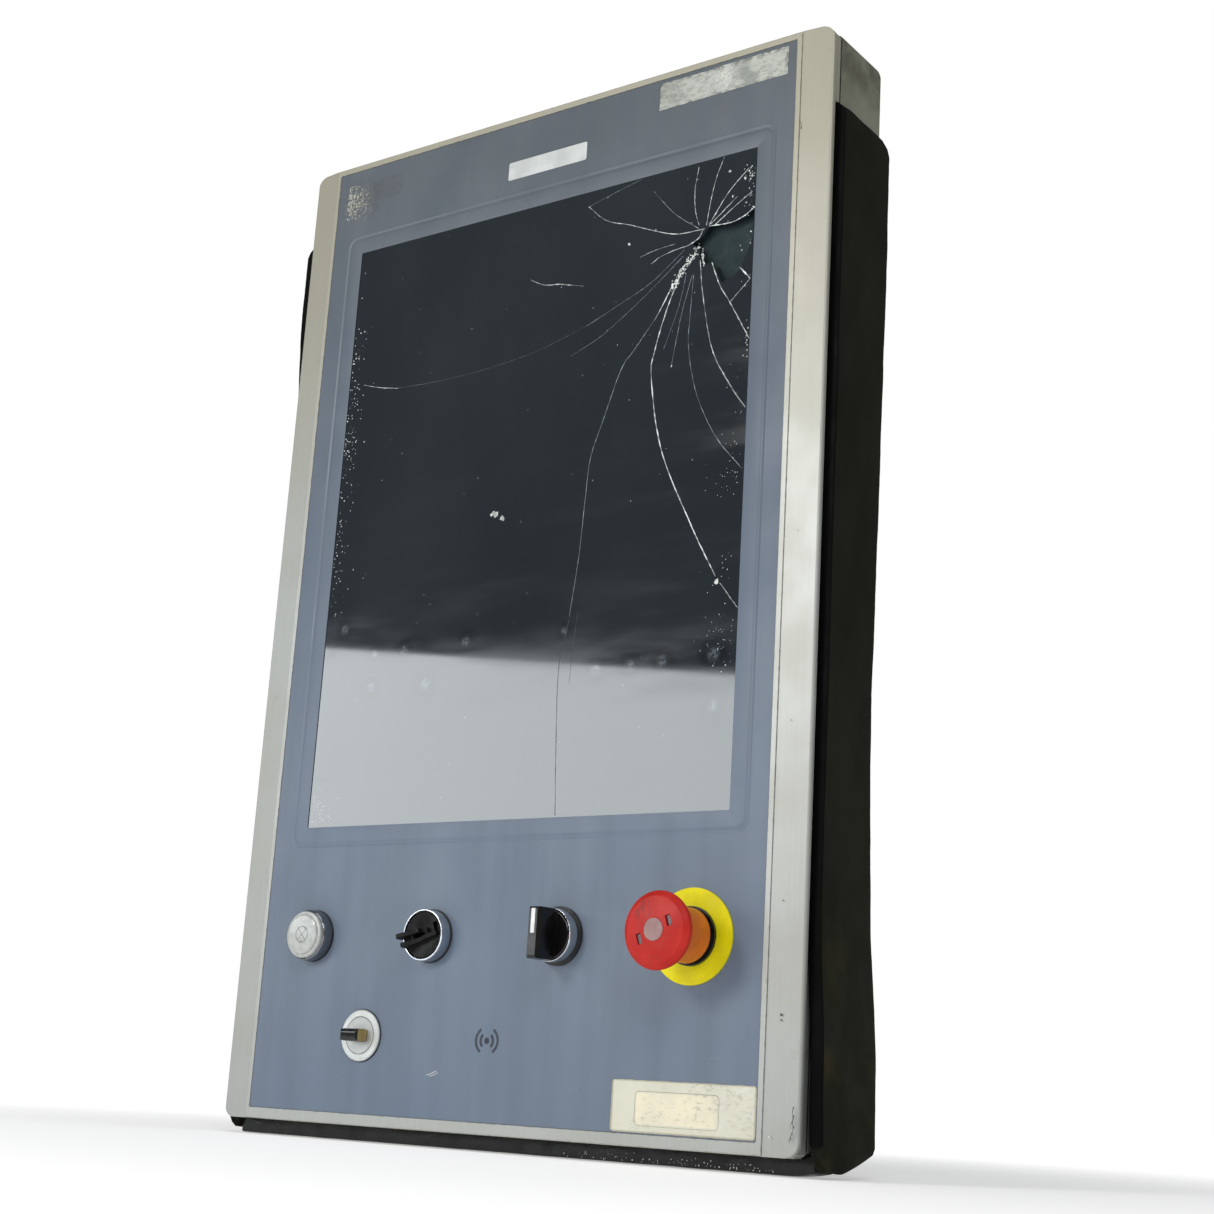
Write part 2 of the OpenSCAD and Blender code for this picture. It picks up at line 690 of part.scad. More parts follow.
// Outline of the grip seen from its end: slightly wider towards the bezel
function grip_end() = [[-4.6, 3], [4.6, 3], [4.2, 11], [grip_w / 2, 21], [grip_w / 2 - 0.8, grip_top + 0.1],
    [0.8 - grip_w / 2, grip_top + 0.1], [-grip_w / 2, 21], [-4.2, 11]];

module selector_right_knob() color("#101012") row_device(2) {
    turned([[0, 3.3], [13.15, 3.3], [13.15, 9], [12.7, 9.4], [9, 8.9], [0, 8.6]]);
    translate([0, 0, 1]) selector_stem();
    difference() {
        intersection() {
            translate([6, 0, 0]) rotate([90, 0, -90]) linear_extrude(12) polygon(grip_side());
            translate([0, 13.7, 0]) rotate([90, 0, 0]) linear_extrude(grip_l) polygon(grip_end());
        }
        pointer_bar(0.02);
    }
}

// White bar let into the upper half of the grip's face and over its top end
module pointer_bar(grow) translate([-1.3 - grow, -0.5 - grow, grip_top - 0.5 - grow])
    cube([2.6 + 2 * grow, grip_l / 2 - 0.6 + 2 * grow, 1]);

module selector_right_pointer() color("white") row_device(2) intersection() {
    pointer_bar(0);
    translate([6, 0, 0]) rotate([90, 0, -90]) linear_extrude(12) polygon(grip_side());
}

// Emergency stop
module estop_disc() color("#e6dd12") row_device(3) difference() {
    cylinder(r = disc_d / 2, h = 1, $fn = 120);
    translate([0, 0, -1]) cylinder(r = panel_hole_r, h = 3);
}

module estop_collar() color("#161616") row_device(3) turned([
    [6.25, 15], [12.9, 15], [12.9, 1.4], [14.7, 1.4], [14.7, 2.7], [15.3, 2.7], [15.3, 1],
    [shank_r, 1], [shank_r, -20], [6.25, -20]]);

// Sliding neck with the stem that works the contacts
module estop_neck() color("#c9661a") row_device(3) turned([
    [4.06, 27.6], [14.3, 27.6], [14.3, 5.2], [13.4, 5.2], [13.4, 20], [5.9, 20], [5.9, -26.2],
    [0, -26.2], [0, 14], [4.06, 14]]);

mushroom_r = mushroom_d / 2;

module estop_mushroom() color("#d94a44") row_device(3) difference() {
    turned(concat([[0, 14.4], [4, 14.4], [4, 27.95], [14.6, 27.95], [mushroom_r - 0.6, 29.6]],
        arc(mushroom_r - 1.8, 31.6, 1.8, -45, 60, 5),
        arc(0, mushroom_top - 100, 100, 80.2, 90, 5)));
    translate([0, 0, 32.5]) cylinder(r = 5.75, h = 5);
    for (i = [0, 1]) indicator_place(i) indicator(0.15, 3);
}

module indicator_place(i) rotate(28.5 + 180 * i) translate([9.8, 0, 33]) rotate(-10) children();

module indicator(grow, h) translate([-1.3 - grow, -2.6 - grow, 0]) cube([2.6 + 2 * grow, 5.2 + 2 * grow, h]);

module estop_window() color("#a39390") row_device(3) translate([0, 0, 32.5])
    cylinder(r = 5.7, h = mushroom_top - 32.5);

module estop_indicators() color("#6e1a20") row_device(3)
    for (i = [0, 1]) indicator_place(i) indicator(0, 1.6);

// Key switch
module lock_body() color("#dfe3e2") device(lock_x, lock_z) turned([
    [7.06, -22], [7.06, 0.9], [10.75, 0.9], [10.75, 1.8], [13.9, 1.8], [14.5, 1.3], [14.5, 0.5],
    [shank_r, 0.5], [shank_r, -22]]);

key_slot_w = 2.8;
key_slot_h = 9.2;

module lock_plug() color("#ccd0cf") device(lock_x, lock_z) difference() {
    turned([[0, -27], [7, -27], [7, 1.2], [10.4, 1.2], [10.4, 1.9], [10, 2.2], [0, 2.2]]);
    translate([-key_slot_h / 2, -key_slot_w / 2, -20]) cube([key_slot_h, key_slot_w, 30]);
}

// Outline of the key's blade in width and reach, with its cuts along one edge
key_outline = [[-4, 5], [4, 5], [3.6, 0], [3.6, -15], [2.4, -18.6], [-0.6, -18.6], [-2.6, -15.6],
    [-1.8, -13], [-3, -10.6], [-1.6, -8], [-2.8, -5.4], [-2, -2.8], [-3.6, 0]];
key_blade_t = 2.2;
key_half_w = 6.3;
key_half_h = 3.5;
key_base = 2.6;
key_frame_t = 1.2;
key_frame_top = 10.3;
key_top = 11.8;

module on_edge(length) translate([0, length / 2, 0]) rotate([90, 0, 0]) linear_extrude(length) children();

// Blade with the metal frame that the head is moulded into
module key_blade() color("#b39a5c") device(lock_x, lock_z) {
    on_edge(key_blade_t) polygon(key_outline);
    on_edge(key_blade_t) translate([-key_half_w, key_base]) square([2 * key_half_w, 1.4]);
    for (side = [-1, 1])
        difference() {
            translate([side * (key_half_w - key_frame_t / 2), 0, (key_base + key_frame_top) / 2])
                cube([key_frame_t, 2 * key_half_h - 0.6, key_frame_top - key_base], center = true);
            for (y = [-1.55, 1.45])
                translate([side * key_half_w, y, 6.3]) cube([1.2, 2, 2.4], center = true);
        }
}

// Outline of the key's plastic head in width and reach
function key_head_outline() = concat(
    [[4.9, key_base + 0.2], [4.9, key_frame_top + 0.1], [key_half_w, key_frame_top + 0.1]],
    arc(key_half_w - 1.2, key_top - 1.2, 1.2, 0, 90, 4),
    arc(1.2 - key_half_w, key_top - 1.2, 1.2, 90, 180, 4),
    [[-key_half_w, key_frame_top + 0.1], [-4.9, key_frame_top + 0.1], [-4.9, key_base + 0.2]]);

// Thick plastic head, rounded along its width, with a notch for a ring in its upper edge
module key_head() color("#141414") device(lock_x, lock_z) difference() {
    intersection() {
        on_edge(2 * key_half_h) polygon(key_head_outline());
        rotate([90, 0, 90]) translate([0, 0, -key_half_w]) linear_extrude(2 * key_half_w)
            polygon(concat([[key_half_h, key_base]], arc(key_half_h - 2.4, key_top - 2.4, 2.4, 0, 90),
                arc(2.4 - key_half_h, key_top - 2.4, 2.4, 90, 180), [[-key_half_h, key_base]]));
    }
    translate([-1.5, key_half_h + 0.6, key_top - 2.6]) cylinder(r = 1.3, h = 4);
    on_edge(key_blade_t + 0.1) polygon([for (p = key_outline) [p[0] * 1.02, p[1] * 1.02]]);
    on_edge(key_blade_t + 0.1) translate([-key_half_w, key_base - 0.1]) square([2 * key_half_w, 1.6]);
}

side_profile_left();
side_profile_right();
top_rail();
bottom_rail();
corner_brackets();
frame_screws();
front_plate();
front_film();
touch_glass();
glass_seal();
lcd_bezel();
lcd_cell();
backlight_tray();
display_clamps();
main_board();
board_standoffs();
heat_sink();
power_supply();
card_reader();
housing_gasket();
rear_housing();
housing_screws();
service_cover();
arm_plate();
cover_screws();
connector_panel();
power_connector();
data_connectors();
side_pad_left();
side_pad_right();
bottom_pad();
top_label();
bottom_label();
device_gaskets();
device_clamps();
button_bezel();
button_plunger();
button_spring();
button_legend();
button_lens();
button_contacts();
selector_left_bezel();
selector_left_rotor();
selector_right_bezel();
selector_right_knob();
selector_right_pointer();
selector_contacts();
estop_disc();
estop_collar();
estop_neck();
estop_mushroom();
estop_window();
estop_indicators();
estop_contacts();
lock_body();
lock_plug();
lock_contacts();
key_blade();
key_head();
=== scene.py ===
"""Looks of the operator touch panel: materials, the cracked touch glass, the printed film, worn labels,
rubber pads and the detail on the control devices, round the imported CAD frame."""

import json
import math
import random

import bpy
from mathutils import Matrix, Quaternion, Vector, geometry, noise


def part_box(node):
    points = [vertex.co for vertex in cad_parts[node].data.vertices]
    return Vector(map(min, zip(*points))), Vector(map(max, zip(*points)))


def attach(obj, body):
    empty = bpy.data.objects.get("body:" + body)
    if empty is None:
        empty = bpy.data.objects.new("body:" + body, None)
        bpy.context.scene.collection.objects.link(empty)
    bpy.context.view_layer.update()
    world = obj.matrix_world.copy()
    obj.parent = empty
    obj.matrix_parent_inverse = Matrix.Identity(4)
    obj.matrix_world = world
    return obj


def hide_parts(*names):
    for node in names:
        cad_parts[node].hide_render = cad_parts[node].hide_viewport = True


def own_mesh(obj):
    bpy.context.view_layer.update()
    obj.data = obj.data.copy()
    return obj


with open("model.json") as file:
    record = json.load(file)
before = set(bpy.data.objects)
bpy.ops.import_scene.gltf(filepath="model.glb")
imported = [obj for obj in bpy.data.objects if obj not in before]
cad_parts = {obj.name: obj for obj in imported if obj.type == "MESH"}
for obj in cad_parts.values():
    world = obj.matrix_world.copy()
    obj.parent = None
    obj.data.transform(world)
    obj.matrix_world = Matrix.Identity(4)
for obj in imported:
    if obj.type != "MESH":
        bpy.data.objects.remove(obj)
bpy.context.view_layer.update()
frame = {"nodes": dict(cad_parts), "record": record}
MM = 0.001

# The film's face and bottom edge carry all the places on the panel, which are in millimetres
FILM_LO, FILM_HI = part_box("front_film")
FILM_W = (FILM_HI.x - FILM_LO.x) / MM
FILM_H = (FILM_HI.z - FILM_LO.z) / MM
WINDOW_X, WINDOW_Z = 1.0, 353.2
WINDOW_W, WINDOW_H = 301.0, 376.5
# Height of the glass face out of the film, and the depth of its plate
GLASS_OUT = -0.5
GLASS_THICK = 2.95


def place(x, z, out=0.0):
    """A point on the panel: across, up from the film's bottom edge and out of the film's face."""
    return Vector((x * MM, FILM_LO.y - out * MM, FILM_LO.z + z * MM))


# ---------------------------------------------------------------- materials


class Look:
    """A Principled material whose nodes read the object's own coordinates, in metres."""

    def __init__(self, name, colour, rough, metallic=0.0, **values):
        self.mat = bpy.data.materials.new(name)
        self.mat.use_nodes = True
        self.tree = self.mat.node_tree
        self.shader = self.tree.nodes["Principled BSDF"]
        self.where = self.tree.nodes.new("ShaderNodeTexCoord").outputs["Object"]
        self.shader.inputs["Base Color"].default_value = (*colour, 1)
        self.shader.inputs["Roughness"].default_value = rough
        self.shader.inputs["Metallic"].default_value = metallic
        self.normal = None
        for key, value in values.items():
            self.shader.inputs[key.replace("_", " ").title().replace("Ior", "IOR")].default_value = value

    def put(self, socket, value):
        if isinstance(value, bpy.types.NodeSocket):
            self.tree.links.new(value, socket)
        elif isinstance(value, (tuple, list)) and socket.type == "RGBA":
            socket.default_value = (*value[:3], 1)
        else:
            socket.default_value = value

    def node(self, kind, inputs, **props):
        """A shader node with its properties, then its inputs, set or linked."""
        n = self.tree.nodes.new("ShaderNode" + kind)
        for key, value in props.items():
            setattr(n, key, value)
        for key, value in inputs.items():
            self.put(n.inputs[key], value)
        return n

    def math(self, kind, a, b=0.0, clamp=False):
        return self.node("Math", {0: a, 1: b}, operation=kind, use_clamp=clamp).outputs[0]

    def times(self, a, b, clamp=False):
        return self.math("MULTIPLY", a, b, clamp)

    def distance(self, dx, dz):
        return self.math("SQRT", self.math("ADD", self.times(dx, dx), self.times(dz, dz)))

    def axis(self, name):
        return self.node("SeparateXYZ", {0: self.where}).outputs[name]

    def noise(self, scale, detail=3.0, stretch=(1, 1, 1), shift=(0, 0, 0), rough=0.55):
        m = self.node("Mapping", {"Vector": self.where, "Scale": stretch, "Location": shift})
        return self.node("TexNoise", {"Vector": m.outputs[0], "Scale": scale, "Detail": detail,
                                      "Roughness": rough}).outputs["Fac"]

    def patches(self, low, high, *noise, to=(0.0, 1.0), **values):
        """Noise with contrast: to[0] below low and to[1] above high."""
        return self.step(self.noise(*noise, **values), low, high, *to)

    def cells(self, scale, feature="F1", shift=(0, 0, 0)):
        m = self.node("Mapping", {"Vector": self.where, "Location": shift})
        return self.node("TexVoronoi", {"Vector": m.outputs[0], "Scale": scale}, feature=feature).outputs["Distance"]

    def step(self, value, low, high, out_low=0.0, out_high=1.0):
        inputs = {"Value": value, "From Min": low, "From Max": high, "To Min": out_low, "To Max": out_high}
        return self.node("MapRange", inputs, interpolation_type="SMOOTHSTEP", clamp=True).outputs["Result"]

    def mix(self, amount, a, b):
        return self.node("Mix", {0: amount, 6: a, 7: b}, data_type="RGBA", blend_type="MIX").outputs[2]

    def over(self, base, mask, amount, colour):
        """The base with a colour laid over it where the mask is, as strongly as the amount."""
        return self.mix(self.times(mask, amount), base, colour)

    def ramp(self, value, stops):
        n = self.node("ValToRGB", {0: value})
        items = n.color_ramp.elements
        while len(items) < len(stops):
            items.new(0.5)
        for item, (at, colour) in zip(items, stops):
            item.position = at
            item.color = (*colour, 1)
        return n.outputs["Color"]

    def box(self, x0, x1, z0, z1, soft):
        """1 inside a rectangle on the panel, in millimetres, falling off over soft."""
        low, high = place(x0, z0), place(x1, z1)
        s = soft * MM
        fac = self.step(self.axis("X"), low.x - s, low.x + s)
        for name, a, b in (("X", high.x + s, high.x - s), ("Z", low.z - s, low.z + s), ("Z", high.z + s, high.z - s)):
            fac = self.times(fac, self.step(self.axis(name), a, b))
        return fac

    def near(self, x, z, inner, outer, squash=1.0):
        """1 within inner millimetres of a place on the panel, falling to 0 at outer."""
        centre = place(x, z)
        dx = self.math("SUBTRACT", self.axis("X"), centre.x)
        dz = self.times(self.math("SUBTRACT", self.axis("Z"), centre.z), squash)
        return self.step(self.distance(dx, dz), outer * MM, inner * MM)

    def bump(self, height, depth, strength=1.0):
        n = self.node("Bump", {"Height": height, "Distance": depth, "Strength": strength})
        if self.normal is not None:
            self.put(n.inputs["Normal"], self.normal)
        self.normal = n.outputs["Normal"]
        return self

    def bevel(self, radius):
        return self.node("Bevel", {"Radius": radius}, samples=4).outputs["Normal"]

    def soften(self, radius):
        """Rounds sharp CAD edges in the shading."""
        self.normal = self.bevel(radius)

    def edges(self, radius):
        """1 along the edges of the shape, 0 on its flat faces."""
        rounded_normal = self.bevel(radius)
        flat_normal = self.node("NewGeometry", {}).outputs["Normal"]
        d = self.node("VectorMath", {0: rounded_normal, 1: flat_normal}, operation="DOT_PRODUCT")
        return self.step(d.outputs["Value"], 0.98, 0.85)

    def done(self, colour=None, rough=None):
        if colour is not None:
            self.put(self.shader.inputs["Base Color"], colour)
        if rough is not None:
            self.put(self.shader.inputs["Roughness"], rough)
        if self.normal is not None:
            self.put(self.shader.inputs["Normal"], self.normal)
        return self.mat


# Rounding of metal and plastic edges in the shading, in metres
MOULD_EDGE = 0.0003


def shade(colour, amount):
    return tuple(c * amount for c in colour)


def anodised(name, colour, low_colour):
    """Aged satin aluminium: darker and yellower towards the top as yellowing with painted shade, fine upright drawing
    lines, blotches, rubbed edges.
    """
    k = Look(name, colour, 0.44, 0.35, specular_ior_level=0.5)
    # Painted shade: the top colour is darker than the low colour, with some yellowing in it as well
    up = k.step(k.axis("Z"), 0.3, 0.6)
    base = k.mix(up, low_colour, colour)
    blotch = k.patches(0.35, 0.7, 14, 5, shift=(3, 1, 0))
    base = k.over(base, blotch, 0.35, shade(colour, 0.84))
    lines = k.noise(900, 2, stretch=(1, 1, 0.02))
    base = k.mix(k.step(lines, 0.3, 0.75, 0, 0.1), base, shade(colour, 0.7))
    grime = k.times(k.patches(0.58, 0.75, 60, 6, rough=0.7), k.patches(0.45, 0.62, 9, 2))
    base = k.over(base, grime, 0.35, (0.22, 0.2, 0.14))
    wear = k.times(k.edges(0.0012), k.patches(0.5, 0.6, 220, 4))
    base = k.over(base, wear, 0.6, (0.12, 0.11, 0.09))
    k.soften(0.0005)
    k.bump(lines, 0.00002, 0.4)
    k.bump(k.noise(700, 3, shift=(0, 4, 0)), 0.00002, 0.5)
    return k.done(base, k.step(blotch, 0, 1, 0.42, 0.46))


def dirty_shaded_housing_paint():
    """Beige-grey powder coat, kept dark as dirt and as painted shade for the side in shadow, with dark grime in the
    upper corner and along the edges.
    """
    # Painted shade with dirt: these colours are far darker than the frame's paint, as the housing's side looks in
    # shadow
    k = Look("dirty_shaded_housing_paint", (0.22, 0.225, 0.17), 0.6, specular_ior_level=0.3)
    base = k.mix(k.patches(0.3, 0.7, 22, 6), (0.235, 0.24, 0.185), (0.18, 0.185, 0.14))
    top = k.step(k.axis("Z"), 0.575, 0.612)
    rub = k.times(top, k.patches(0.3, 0.6, 45, 5, shift=(2, 0, 7)))
    base = k.over(base, rub, 0.75, (0.06, 0.058, 0.042))
    spots = k.step(k.cells(180), 0.16, 0.08)
    base = k.mix(k.times(spots, k.patches(0.5, 0.62, 30, 3)), base, (0.1, 0.1, 0.08))
    base = k.mix(k.times(k.edges(0.0015), 0.4), base, (0.16, 0.155, 0.13))
    k.soften(0.0008)
    k.bump(k.noise(1100, 2), 0.00006, 0.6)
    return k.done(base, k.patches(0.3, 0.7, 35, 4, to=(0.45, 0.65)))


def metal(name, colour, rough, stretch=(1, 1, 1), dirt=0.25, metallic=1.0):
    """Bare or plated metal with fine grain, uneven sheen and dirt in patches."""
    k = Look(name, colour, rough, metallic)
    grain = k.noise(1500, 2, stretch=stretch)
    base = k.mix(k.step(grain, 0.3, 0.7), shade(colour, 0.88), colour)
    dirty = k.patches(0.5, 0.72, 90, 5, rough=0.65, to=(0, dirt))
    base = k.mix(dirty, base, shade(colour, 0.3))
    k.soften(MOULD_EDGE)
    k.bump(grain, 0.00002, 0.5)
    return k.done(base, k.step(k.noise(60, 4), 0.3, 0.7, rough * 0.7, min(1, rough * 1.5)))


def plastic(name, colour, rough, dirt=0.2, dirt_colour=None, soft=MOULD_EDGE, grain=0.00002, **values):
    """Moulded plastic: slight colour drift, spark-eroded grain, handling marks and duller patches."""
    k = Look(name, colour, rough, **values)
    base = k.mix(k.patches(0.3, 0.7, 70, 3), shade(colour, 0.88), shade(colour, 1.08))
    marks = k.times(k.patches(0.56, 0.68, 240, 5, rough=0.7), dirt)
    base = k.mix(marks, base, dirt_colour or shade(colour, 0.35))
    k.soften(soft)
    k.bump(k.noise(2200, 2), grain, 0.6)
    return k.done(base, k.step(k.noise(130, 4), 0.3, 0.7, rough * 0.75, min(1, rough * 1.35)))


def rubber(name, colour, rough):
    k = Look(name, colour, rough)
    base = k.mix(k.patches(0.35, 0.7, 120, 4), shade(colour, 0.7), shade(colour, 1.5))
    k.soften(0.0002)
    k.bump(k.noise(1800, 3), 0.00005, 0.6)
    return k.done(base, k.step(k.noise(50, 3), 0.3, 0.7, rough * 0.8, min(1, rough * 1.2)))


def board():
    k = Look("board_solder_mask", (0.01, 0.09, 0.03), 0.35)
    tracks = k.step(k.cells(420, "DISTANCE_TO_EDGE"), 0.02, 0.05)
    base = k.mix(tracks, (0.02, 0.16, 0.05), (0.008, 0.07, 0.025))
    base = k.mix(k.step(k.cells(900), 0.2, 0.12), base, (0.45, 0.42, 0.3))
    return k.bump(tracks, 0.00003).done(base, k.patches(0.3, 0.7, 300, to=(0.25, 0.5)))


def film_print():
    """Blue-grey satin polyester, darker towards the top as painted shade: faint mottling, rubbed sheen, and the residue
    of a torn-off sticker.
    """
    k = Look("film_print", (0.16, 0.2, 0.27), 0.45, specular_ior_level=0.35)
    # Painted shade: the colour darkens from the bottom of the film towards its top
    base = k.ramp(k.times(k.axis("Z"), 1.6, clamp=True),
                  [(0.05, (0.135, 0.178, 0.243)), (0.3, (0.132, 0.172, 0.232)), (0.55, (0.092, 0.123, 0.17)),
                   (0.95, (0.075, 0.09, 0.105))])
    cloud = k.patches(0.3, 0.72, 11, 5)
    base = k.over(base, cloud, 0.14, (0.26, 0.28, 0.3))
    streak = k.noise(60, 3, stretch=(1, 1, 0.06))
    base = k.mix(k.step(streak, 0.35, 0.7, 0, 0.16), base, (0.05, 0.065, 0.1))
    dust = k.step(k.cells(330, shift=(0.3, 0.2, 0.1)), 0.1, 0.05)
    dust = k.times(dust, k.patches(0.56, 0.66, 25, 3, shift=(5, 0, 0)))
    base = k.over(base, dust, 0.6, (0.42, 0.43, 0.42))
    # Sticker residue: dark streaks across the patch and a crumbly cream edge on its left
    torn = k.noise(260, 7, stretch=(1, 1, 1.4), rough=0.72)
    smear = k.times(k.box(-166, -138, 568, 594, 7), k.step(torn, 0.3, 0.75))
    base = k.over(base, smear, 0.6, (0.05, 0.048, 0.045))
    film_left = k.times(k.box(-150, -119, 577, 592, 1.0), k.patches(0.3, 0.6, 420, 5, shift=(1, 0, 2), rough=0.7))
    base = k.over(base, film_left, 0.55, (0.075, 0.08, 0.085))
    pale = k.times(k.box(-168, -146, 568, 588, 6), k.patches(0.48, 0.58, 330, 5, shift=(4, 0, 2), rough=0.7))
    base = k.over(base, pale, 0.35, (0.3, 0.29, 0.24))
    k.bump(k.noise(2600, 2), 0.000025, 0.5)
    rough = k.patches(0.3, 0.7, 18, 4, shift=(0, 0, 3), to=(0.36, 0.5))
    return k.done(base, rough)


# Painted reflections of rows of small lamps on the lower screen, as (x, z, size) in millimetres
REFLECTED_LAMP_SPOTS = ((-134, 287, 9), (-107, 270, 8), (-84, 270, 9), (-36, 271, 9), (-108, 249, 9), (-65, 248, 11),
           (36, 271, 7), (60, 247, 10), (83, 247, 10), (104, 248, 10), (137, 249, 12), (138, 221, 10))


def glass_look():
    """Front face of the touch glass over a switched-off display: near black, with a hard clear surface, wiped streaks,
    and rows of pale round spots in darker rims, painted reflections of small lamps, that lift the black slightly."""
    k = Look("touch_glass", (0.006, 0.009, 0.012), 0.05, ior=1.52, specular_ior_level=0.6, coat_weight=1.0,
             coat_roughness=0.035, coat_ior=1.5)
    haze = k.patches(0.35, 0.75, 9, 5, stretch=(1, 1, 0.5), to=(0, 0.35))
    base = k.mix(haze, (0.006, 0.01, 0.014), (0.022, 0.03, 0.036))
    # Each painted lamp reflection: a darker rim round a pale spot
    for x, z, size in REFLECTED_LAMP_SPOTS:
        ring = k.math("SUBTRACT", k.near(x, z, size * 0.55, size), k.times(k.near(x, z, 1, size * 0.5), 1.6))
        base = k.mix(k.times(ring, 0.9, clamp=True), base, (0.0, 0.002, 0.004))
        spot = k.times(k.near(x, z, 0.5, size * 0.42), k.patches(0.35, 0.6, 400, 3))
        base = k.over(base, spot, 0.5, (0.16, 0.2, 0.23))
    wipe = k.noise(40, 4, stretch=(0.25, 1, 1.3), shift=(0, 2, 0))
    return k.done(base, k.step(wipe, 0.35, 0.75, 0.03, 0.12))


def foil():
    """Brushed silver foil whose print and surface are mostly rubbed away."""
    k = Look("worn_foil", (0.4, 0.41, 0.38), 0.42, 0.35)
    worn = k.patches(0.38, 0.64, 60, 8, rough=0.72)
    base = k.mix(worn, (0.5, 0.52, 0.47), (0.27, 0.285, 0.265))
    scrub = k.patches(0.46, 0.66, 700, 4, stretch=(0.35, 1, 1), rough=0.7)
    base = k.over(base, scrub, 0.55, (0.2, 0.21, 0.2))
    rubbed = k.times(k.near(128, 593, 2, 12, 0.9), k.patches(0.36, 0.64, 1300, 5, shift=(3, 0, 0)))
    base = k.over(base, rubbed, 0.6, (0.7, 0.71, 0.66))
    corner = k.times(k.near(88, 596, 3, 14), k.patches(0.36, 0.62, 1200, 5, rough=0.75))
    base = k.over(base, corner, 0.6, (0.12, 0.115, 0.095))
    edge = k.math("SUBTRACT", 1.0, k.box(84, 168, 583.5, 598, 1.6))
    edge = k.times(edge, k.patches(0.42, 0.6, 300, 5, shift=(9, 0, 0)))
    base = k.over(base, edge, 0.8, (0.12, 0.12, 0.1))
    k.bump(worn, 0.00006, 0.8)
    return k.done(base, k.step(worn, 0, 1, 0.3, 0.6))


def paper():
    """Yellowed paper label under a scuffed laminate, with a paler border and grey rub marks."""
    k = Look("paper_label", (0.6, 0.57, 0.43), 0.5)
    inner = k.box(103, 152, 5, 20.5, 0.4)
    base = k.mix(inner, (0.68, 0.67, 0.55), (0.84, 0.77, 0.58))
    cloud = k.patches(0.35, 0.68, 55, 5)
    base = k.over(base, cloud, 0.5, (0.6, 0.59, 0.49))
    pale = k.times(k.box(153, 176, 0, 27, 3), k.patches(0.4, 0.65, 35, 4, shift=(0, 0, 8)))
    base = k.over(base, pale, 0.7, (0.78, 0.79, 0.72))
    rub = k.patches(0.5, 0.66, 420, 6, stretch=(0.6, 1, 1.2), rough=0.75)
    where = k.patches(0.42, 0.58, 34, 3, shift=(4, 0, 4))
    base = k.mix(k.times(k.times(rub, where), 0.6), base, (0.34, 0.33, 0.28))
    rim = k.math("SUBTRACT", 1.0, k.box(88.2, 173.8, 1.4, 26.2, 0.5))
    base = k.over(base, rim, 0.75, (0.34, 0.3, 0.2))
    k.bump(cloud, 0.00005, 0.6)
    return k.done(base, k.step(cloud, 0, 1, 0.4, 0.6))


def foam_rubber():
    """Black cellular rubber: matt and faintly olive, brown where dirt has worked in, with fine pores."""
    k = Look("cellular_rubber", (0.01, 0.011, 0.008), 0.75, specular_ior_level=0.06)
    base = k.mix(k.patches(0.3, 0.7, 16, 5, stretch=(1, 1, 0.5)), (0.0085, 0.0092, 0.006), (0.015, 0.016, 0.01))
    low = k.step(k.axis("Z"), 0.16, 0.02)
    stain = k.times(low, k.patches(0.46, 0.68, 24, 5, shift=(0, 3, 1)))
    base = k.over(base, stain, 0.8, (0.042, 0.034, 0.012))
    brown = k.times(k.patches(0.55, 0.7, 13, 3, shift=(7, 7, 2)), 0.5)
    base = k.mix(brown, base, (0.018, 0.016, 0.009))
    # Painted shade: the cut edge that faces forward, which lies in shadow behind the profile's lip, is painted near
    # black
    front_shade_behind, front_shade_front = -0.0086, -0.0096
    front_edge_shade = k.step(k.axis("Y"), front_shade_behind, front_shade_front)
    base = k.mix(front_edge_shade, base, (0.002, 0.002, 0.002))
    k.bump(k.noise(1400, 3), 0.00012, 0.5)
    k.bump(k.noise(120, 4, stretch=(1, 1, 0.3)), 0.0004, 0.4)
    return k.done(base, k.patches(0.3, 0.7, 40, 4, to=(0.5, 0.75)))


def glossy_foam():
    """The bottom pad's skin, wet-looking from adhesive. The small pale flecks stuck to it are grit pieces made in
    build_marks.
    """
    k = Look("tacky_rubber", (0.005, 0.005, 0.005), 0.4, specular_ior_level=0.35)
    base = k.mix(k.patches(0.5, 0.75, 60, 4, to=(0, 0.6)), (0.004, 0.004, 0.004), (0.014, 0.012, 0.009))
    k.bump(k.noise(170, 5), 0.0006, 0.6)
    return k.done(base, k.patches(0.35, 0.7, 90, 4, to=(0.25, 0.55)))


def red_cap():
    """Faded red plastic, darker and scuffed round the upper left of the cap and at its foot."""
    k = Look("red_cap", (0.47, 0.016, 0.011), 0.5, specular_ior_level=0.2)
    base = k.mix(k.patches(0.3, 0.7, 60, 4), (0.43, 0.013, 0.009), (0.52, 0.022, 0.014))
    x, z = 132.3, 100.0
    scuff = k.times(k.near(x - 8, z + 11, 2, 9, 0.8), k.patches(0.47, 0.6, 420, 5, stretch=(1.6, 1, 0.4), rough=0.75))
    low = k.times(k.near(x + 1, z - 15, 1, 5, 1.3), k.patches(0.5, 0.62, 380, 4, shift=(1, 1, 1)))
    base = k.mix(k.times(k.math("ADD", scuff, low, clamp=True), 0.8), base, (0.16, 0.03, 0.03))
    haze = k.times(k.near(x, z, 3, 15), k.patches(0.45, 0.65, 200, 5))
    base = k.over(base, haze, 0.18, (0.42, 0.1, 0.09))
    k.soften(0.0004)
    k.bump(k.noise(1500, 3), 0.00003, 0.6)
    return k.done(base, k.patches(0.3, 0.7, 90, 4, to=(0.33, 0.5)))


